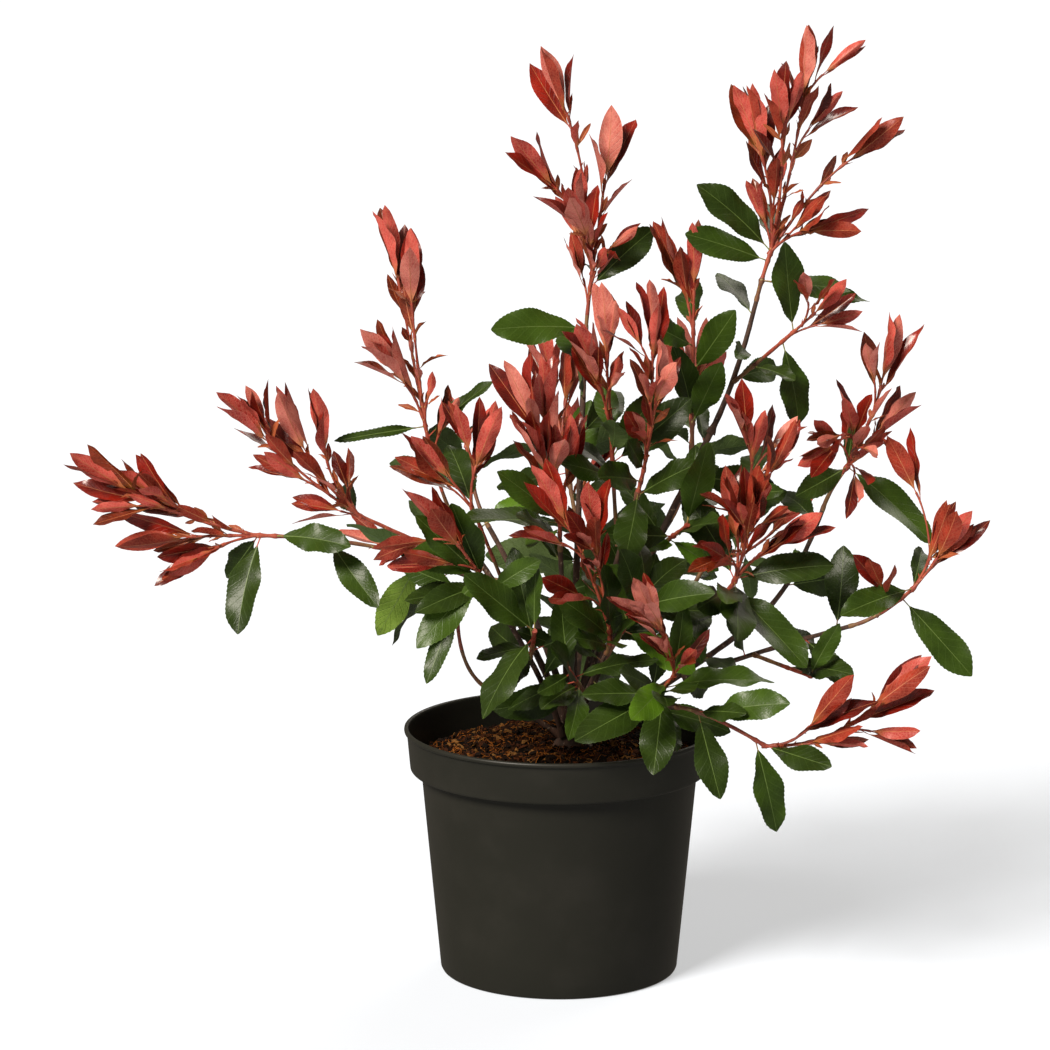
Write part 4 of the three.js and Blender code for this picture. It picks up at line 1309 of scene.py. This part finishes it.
# Strands of coir: how many, how far out they start and reach, seed, curl in radians, half length, arch
# over the mix, radius, and the places along one and round it
FIBRES = 700
FIBRE_REACH = 112
FIBRE_LIMIT = 116
FIBRE_SEED = 29
FIBRE_CURLS = (-0.9, 0.9)
FIBRE_HALVES = (3, 10)
FIBRE_CLEAR = 0.5
FIBRE_ARCHES = (0, 1.3)
FIBRE_RADII = (0.16, 0.46)
FIBRE_PLACES = 7
FIBRE_SIDES = 4

# One chip in so many is pale, and so is one strand
PALE_CHIPS = 11
PALE_FIBRES = 4


def scattered(draw, reach):
    """A place on the potting mix, even over its area."""
    r, turn = reach * math.sqrt(draw(0, 1)), draw(0, 2 * math.pi)
    x, y = r * math.cos(turn), r * math.sin(turn)
    return np.array([x, y, mix_height(x, y)])


def make_chips():
    """Flakes of bark that lie at all angles on the mix."""
    shape, draw = Shape(["bark_chip_dark", "bark_chip_red", "bark_chip_pale"]), dice(CHIP_SEED)
    for i in range(CHIPS):
        centre = scattered(draw, CHIP_REACH)
        long, wide = draw(*CHIP_ROOTS) ** 2 * CHIP_LENGTH, draw(*CHIP_WIDTHS)
        thick = wide * draw(*CHIP_DEPTHS)
        turn = Matrix.Rotation(draw(*ANY_TURN), 3, "Z")
        for axis, tilts in CHIP_TILTS.items():
            turn = turn @ Matrix.Rotation(draw(*tilts), 3, axis)
        along, side, up = (np.array(axis) for axis in turn.transposed())
        corners = [side * (wide * x) + up * (thick * z) for x, z in ((1, 1), (-1, 1), (-1, -1), (1, -1))]
        rings = []
        for place, size in CHIP_RINGS:
            size *= draw(*CHIP_CHANGE)
            middle = centre + along * place * long + up * thick * CHIP_LIFT
            rings.append([middle + size * corner for corner in corners])
        kind = "pale" if i % PALE_CHIPS == 0 else "red" if i % 2 else "dark"
        shape.add(np.array(rings), "bark_chip_" + kind)
    shape.piece("mix_chips", "potting_mix", crease=25)


def make_fibres():
    """Curled strands of coir."""
    shape, draw = Shape(["coir_strand", "bark_chip_pale"]), dice(FIBRE_SEED)
    for i in range(FIBRES):
        centre = scattered(draw, FIBRE_REACH)
        turn, curl, half = draw(*ANY_TURN), draw(*FIBRE_CURLS), draw(*FIBRE_HALVES)
        places = []
        for t in np.linspace(-1, 1, FIBRE_PLACES):
            x = centre[0] + half * t * math.cos(turn + curl * t)
            y = centre[1] + half * t * math.sin(turn + curl * t)
            if math.hypot(x, y) > FIBRE_LIMIT:
                x, y = (v * FIBRE_LIMIT / math.hypot(x, y) for v in (x, y))
            arch = draw(*FIBRE_ARCHES) * (1 - t * t)
            places.append((x, y, mix_height(x, y) + FIBRE_CLEAR + arch))
        radii = np.full(FIBRE_PLACES, draw(*FIBRE_RADII))
        finish = "coir_strand" if i % PALE_FIBRES else "bark_chip_pale"
        shape.add(rings_along(np.array(places), radii, FIBRE_SIDES), finish)
    shape.piece("mix_fibres", "potting_mix")


# Bark: size of its ridges and knots in mm, and how deep knots are for the ridges. A ridge takes its noise
# from a spot of its own round the limb
BARK_RIDGE_MM = 6
BARK_KNOT_MM = 13
BARK_KNOTS = 0.7
BARK_ROUND = (2.1, 1.7)

# Stem base: heights of its rings with how far each swells, its sides and its relief
BASE_RINGS = (
    (-3, 1.1), (0, 1.05), (2, 1), (5, 1), (8, 1), (12, 1), (16, 1), (19, 0.97), (21, 0.8), (22.2, 0.5),
)
BASE_SIDES = 24
BASE_RELIEF = 0.16

# Limbs: spacing of the rings, swelling of the first ones, sides and relief
LIMB_STEP = 3.5
LIMB_COLLAR = (1.7, 1.45, 1.15)
LIMB_SIDES = 10
LIMB_RELIEF = 0.13

# Twigs: spacing of the rings, swelling of the first two, sides, the share of a stem that has ripened to
# olive-brown wood, the zigzag's depth and size, and the swelling under each leaf and its size
TWIG_STEP = 2.6
TWIG_COLLAR = 1.25
TWIG_SIDES = 8
TWIG_RIPE = 0.55
ZIGZAG = 0.05
ZIGZAG_MM = 3.1
ZIGZAG_PHASE = (0, 6)
LEAF_SWELL = 0.38
LEAF_SWELL_MM = 2.2

# Bud scales: how far up a shoot they start, spacing, lengths, lean along the shoot, and rings from root
# to point with their radii. Turns round the shoot are counted from this direction
SCALE_FIRST = 8
SCALE_STEP = 12
SCALE_LENGTHS = (2.6, 4.6)
SCALE_LEAN = 0.9
SCALE_RINGS = ((0, 0.8), (0.4, 0.6), (0.75, 0.35), (1, 0.1))
SCALE_FROM = (1, 0.3, 0.2)


def bark_radii(centres, radii, count, relief):
    """Radii of a limb's rings with ridges, knots and hollows of bark."""
    values = np.repeat(np.array(radii)[:, None], count, 1)
    for row, centre in enumerate(centres):
        for side in range(count):
            turn = Vector((math.cos(side), math.sin(side * BARK_ROUND[0]), side * BARK_ROUND[1]))
            values[row, side] *= 1 + relief * noise.noise(Vector(centre) / BARK_RIDGE_MM + turn)
        values[row] *= 1 + relief * BARK_KNOTS * noise.noise(Vector(centre) / BARK_KNOT_MM)
    return values


def make_base():
    """Stem base, flared to the ground, with furrowed bark."""
    shape = Shape(["bark_brown"])
    radii = [base_radius(height) * swell for height, swell in BASE_RINGS]
    centres = np.array([(*BASE_PLACE, MIX_TOP + height) for height, _ in BASE_RINGS])
    radii = bark_radii(centres, radii, BASE_SIDES, BASE_RELIEF)
    shape.add(rings_along(centres, radii, BASE_SIDES), "bark_brown")
    shape.piece("stem_base_bark", "bark", ["stem_base"], crease=70)


def make_limbs():
    """Boughs of old wood, each grown out of what bears it."""
    shape = Shape(["bark_brown"])
    for name, row in LIMBS.items():
        centres = sunk(paths[name], LIMB_STEP)
        radii = mix(row["radius"], np.linspace(0, 1, len(centres)))
        radii[: len(LIMB_COLLAR)] *= LIMB_COLLAR
        radii = bark_radii(centres, radii, LIMB_SIDES, LIMB_RELIEF)
        shape.add(rings_along(centres, radii, LIMB_SIDES), "bark_brown")
    shape.piece("limb_bark", "bark", list(LIMBS), crease=70)


def add_twig(shape, path, radius, seats, draw, ripe=0):
    """A stem or shoot with a slight zigzag and a swelling where each leaf sits. ripe is its olive share."""
    centres = sunk(path, TWIG_STEP)
    share = np.linspace(0, 1, len(centres))
    phase = share * path.length / ZIGZAG_MM + draw(*ZIGZAG_PHASE)
    radii = mix(radius, share) * (1 + ZIGZAG * np.sin(phase))
    radii[:2] *= TWIG_COLLAR
    for seat in seats:
        near = np.linalg.norm(centres - np.array(tuple(seat)), axis=1)
        radii += radius[1] * LEAF_SWELL * np.exp(-((near / LEAF_SWELL_MM) ** 2))
    rings = rings_along(centres, radii, TWIG_SIDES)
    if ripe:
        cut = int(len(centres) * ripe)
        shape.add(rings[:cut], "stem_olive")
        rings = rings[cut - 1 :]
    shape.add(rings, "shoot_red")


def add_scales(shape, path, draw):
    """Pointed bud scales that stand off a shoot."""
    for distance in np.arange(SCALE_FIRST, path.length, SCALE_STEP):
        u = distance / path.length
        root, along = path.point(u), path.tangent(u)
        out = turned(square_to(along, Vector(SCALE_FROM)), along, draw(0, 360))
        heading = (along * SCALE_LEAN + out).normalized()
        length = draw(*SCALE_LENGTHS)
        centres = np.array([tuple(root + heading * (length * t)) for t, _ in SCALE_RINGS])
        shape.add(rings_along(centres, [radius for _, radius in SCALE_RINGS], 4), "shoot_red")


# Regions of the crown, whose twigs and leaves are pieces of their own, and the planes between them
REGIONS = ("left", "centre", "right", "back")
BACK_FROM = 60
LEFT_UNDER = -40
RIGHT_FROM = 125

# How deep the under sides of a spray's young leaves are, from 0, pale, to 2, deep, and how far one leaf
# may differ from its spray
TONES = {
    "left_low": 1.7, "left_high": 0.5, "left_inner": 1.7, "left_front": 1.7, "centre_high": 0.5,
    "top_right": 1.5, "right_high": 1.5, "right_inner": 1.9, "right": 0.5, "far_right": 2.4,
    "low_right": 2, "front_low": 0,
}
COMMON_TONE = 1
TONE_SPREAD = 1

# Levels that part the finishes of each group, in their order. The rest takes the last one
RED_LEVELS = (0.5, 0.8)
TONE_LEVELS = (0.7, 1.6)
GREEN_LEVELS = (0.46, 0.8)
RUST_LEAFLETS = 0.5
RED_PETIOLES = 0.3

# Share of mature leaves that are fresh and bright, under this height and above it
FRESH_BELOW = 400
FRESH_SHARES = (0.08, 0.02)

# Seeds of the draws for the sprays' leaves, the limbs' leaves and the regions
SPRAY_SEED = 1
LIMB_SEED = 200
REGION_SEED = 41


def region_of(row):
    x, y, _ = row["node"]
    if y > BACK_FROM:
        return "back"
    return "left" if x < LEFT_UNDER else "right" if x > RIGHT_FROM else "centre"


def picked(names, value, levels):
    """The first name whose level is above a value, or the last name."""
    names = list(names)
    return next((name for name, level in zip(names, levels) if value < level), names[-1])


def tint_of(leaf, spray, draw):
    """Finishes of a leaf's upper side, under side, midrib and petiole."""
    kind, pick = leaf["kind"], draw(0, 1)
    if kind is LEAFLET:
        under = "young_under_rust" if pick < RUST_LEAFLETS else "leaflet_bronze"
        return ("leaflet_bronze", under, "rib_red", "petiole_red")
    if kind is YOUNG:
        tone = TONES.get(spray, COMMON_TONE) + draw(-TONE_SPREAD, TONE_SPREAD)
        upper = picked(UPPER_REDS, pick, RED_LEVELS)
        return (upper, picked(UNDER_REDS, tone, TONE_LEVELS), "rib_red", "petiole_red")
    fresh = leaf.get("fresh", FRESH_SHARES[leaf["root"].z > FRESH_BELOW])
    upper = picked(UPPER_GREENS, pick, (*GREEN_LEVELS, 1 - fresh))
    under = list(UNDER_GREENS)[max(0, list(UPPER_GREENS).index(upper) - 1)]
    return (upper, under, "rib_green", "petiole_red" if pick < RED_PETIOLES else "petiole_green")


def grow_crown():
    """All limbs, then all twigs, then the leaves that stand out, then every other leaf."""
    for name, row in LIMBS.items():
        paths[name] = limb_path(row)
        claim(marks_along(paths[name], row["radius"][0] + LIMB_ROOM), name)
    sprays = [grow_twigs(name, row) for name, row in SPRAYS.items()]
    for spray in sprays:
        grow_fine(spray)
    for spray in sprays:
        for place in spray["row"].get("shown", ()):
            grow_shown_leaf(spray, place[:3], *place[3:])
    for index, spray in enumerate(sprays):
        grow_leaves(spray, SPRAY_SEED + index)
    limb_leaves = [leaf for i, name in enumerate(LIMBS) for leaf in grow_limb_leaves(name, LIMB_SEED + i)]
    return sprays, limb_leaves


def make_region(region, sprays, limb_leaves):
    """Twigs, young leaves and mature leaves of one region of the crown."""
    draw = dice(REGION_SEED + REGIONS.index(region))
    twigs = Shape(["stem_olive", "shoot_red"])
    young = Shape([*UPPER_REDS, *UNDER_REDS, "leaflet_bronze", "rib_red", "petiole_red"])
    mature = Shape([*UPPER_GREENS, *UNDER_GREENS, "rib_green", "petiole_green", "petiole_red"])
    for spray in sprays:
        roots = [leaf["root"] for leaf in spray["leaves"]]
        add_twig(twigs, spray["stem"], STEM_RADIUS, roots, draw, TWIG_RIPE)
        for shoot in spray["shoots"]:
            add_twig(twigs, shoot, SHOOT_RADIUS, roots, draw)
            add_scales(twigs, shoot, draw)
        for shoot in spray["fine"]:
            add_twig(twigs, shoot, FINE_RADIUS, roots, draw)
        for leaf in spray["leaves"]:
            target = mature if leaf["kind"] is MATURE else young
            add_leaf(target, leaf, tint_of(leaf, spray["name"], draw), draw)
    for leaf in limb_leaves:
        add_leaf(mature, leaf, tint_of(leaf, "", draw), draw)
    nodes = ["spray_" + spray["name"] for spray in sprays]
    red_nodes = ["spray_" + spray["name"] for spray in sprays if spray["shoots"]]
    twigs.piece("twigs_" + region, "bark", nodes)
    young.piece("young_leaves_" + region, "red_foliage", red_nodes)
    mature.piece("mature_leaves_" + region, "green_foliage", nodes)


# Suns: strength, width in degrees, and the direction that each shines from
SUNS = {
    "key": (5.5, 22, (-0.62, -0.75, 0.8)),
    "back": (1.25, 40, (0.5, 0.8, 0.9)),
}
SUN_TINT = "#fff6ea"

# The floor is lit from below as well, as in a picture cut out on white, so that shadows on it stay pale,
# and its white isn't mirrored in the leaves and the pot
FLOOR_PAINT = "#b4bcc8"
FLOOR_REACH = 40
FLOOR_GLOW = 0.4

# Light from all round, and the white that the camera sees in its place
WORLD_LIGHT = 0.17
WORLD_TINT = "#fff4e2"
WORLD_SEEN = "#fcfcfb"

# Camera: how far it stands from its target, how high it looks from, its lens and its film's width
CAMERA_DISTANCE = 3.2
CAMERA_RISE = 11.007
CAMERA_TARGET = (-0.02759, 0, 0.3646)
CAMERA_LENS = 137.54
CAMERA_FILM = 36


def make_floor():
    material, tree, _ = start_material("floor_paint")
    look = {
        "Base Color": linear(FLOOR_PAINT),
        "Emission Color": linear("#ffffff"),
        "Emission Strength": FLOOR_GLOW,
        "Roughness": 0.8,
        "Specular IOR Level": 0.1,
    }
    set_inputs(tree, tree.nodes["Principled BSDF"], look)
    mesh = bpy.data.meshes.new("floor")
    corners = [(x * FLOOR_REACH, y * FLOOR_REACH, 0) for x, y in ((-1, -1), (1, -1), (1, 1), (-1, 1))]
    mesh.from_pydata(corners, [], [(0, 1, 2, 3)])
    mesh.materials.append(material)
    floor = placed("floor", mesh)
    floor.visible_glossy = False


def make_light():
    """Suns from the upper left and from behind, and soft light from all round."""
    for name, (energy, wide, aim) in SUNS.items():
        lamp = bpy.data.lights.new(name, "SUN")
        lamp.energy, lamp.angle, lamp.color = energy, math.radians(wide), linear(SUN_TINT)[:3]
        placed(name, lamp).rotation_euler = Vector(aim).to_track_quat("Z", "Y").to_euler()
    world = bpy.data.worlds.new("studio")
    world.use_nodes = True
    tree = world.node_tree
    seen = add_node(tree, "ShaderNodeLightPath", out="Is Camera Ray")
    dim = add_node(tree, "ShaderNodeBackground", {0: linear(WORLD_TINT), 1: WORLD_LIGHT})
    pale = add_node(tree, "ShaderNodeBackground", {0: linear(WORLD_SEEN), 1: 1.0})
    both = add_node(tree, "ShaderNodeMixShader", {0: seen, 1: dim, 2: pale})
    set_inputs(tree, tree.nodes["World Output"], {0: both})
    bpy.context.scene.world = world
    bpy.context.scene.view_settings.view_transform = "Standard"


def make_camera():
    """Camera at the photograph's angle."""
    lens = bpy.data.cameras.new("camera")
    lens.lens, lens.sensor_width = CAMERA_LENS, CAMERA_FILM
    camera = placed("camera", lens)
    rise = math.radians(CAMERA_RISE)
    back = Vector((0, -math.cos(rise), math.sin(rise)))
    camera.location = Vector(CAMERA_TARGET) + back * CAMERA_DISTANCE
    camera.rotation_euler = back.to_track_quat("Z", "Y").to_euler()
    bpy.context.scene.camera = camera


sprays, limb_leaves = grow_crown()
make_pot()
make_mix()
make_chips()
make_fibres()
make_base()
make_limbs()
for region in REGIONS:
    own = [spray for spray in sprays if region_of(spray["row"]) == region]
    make_region(region, own, limb_leaves if region == "centre" else [])
make_floor()
make_light()
make_camera()
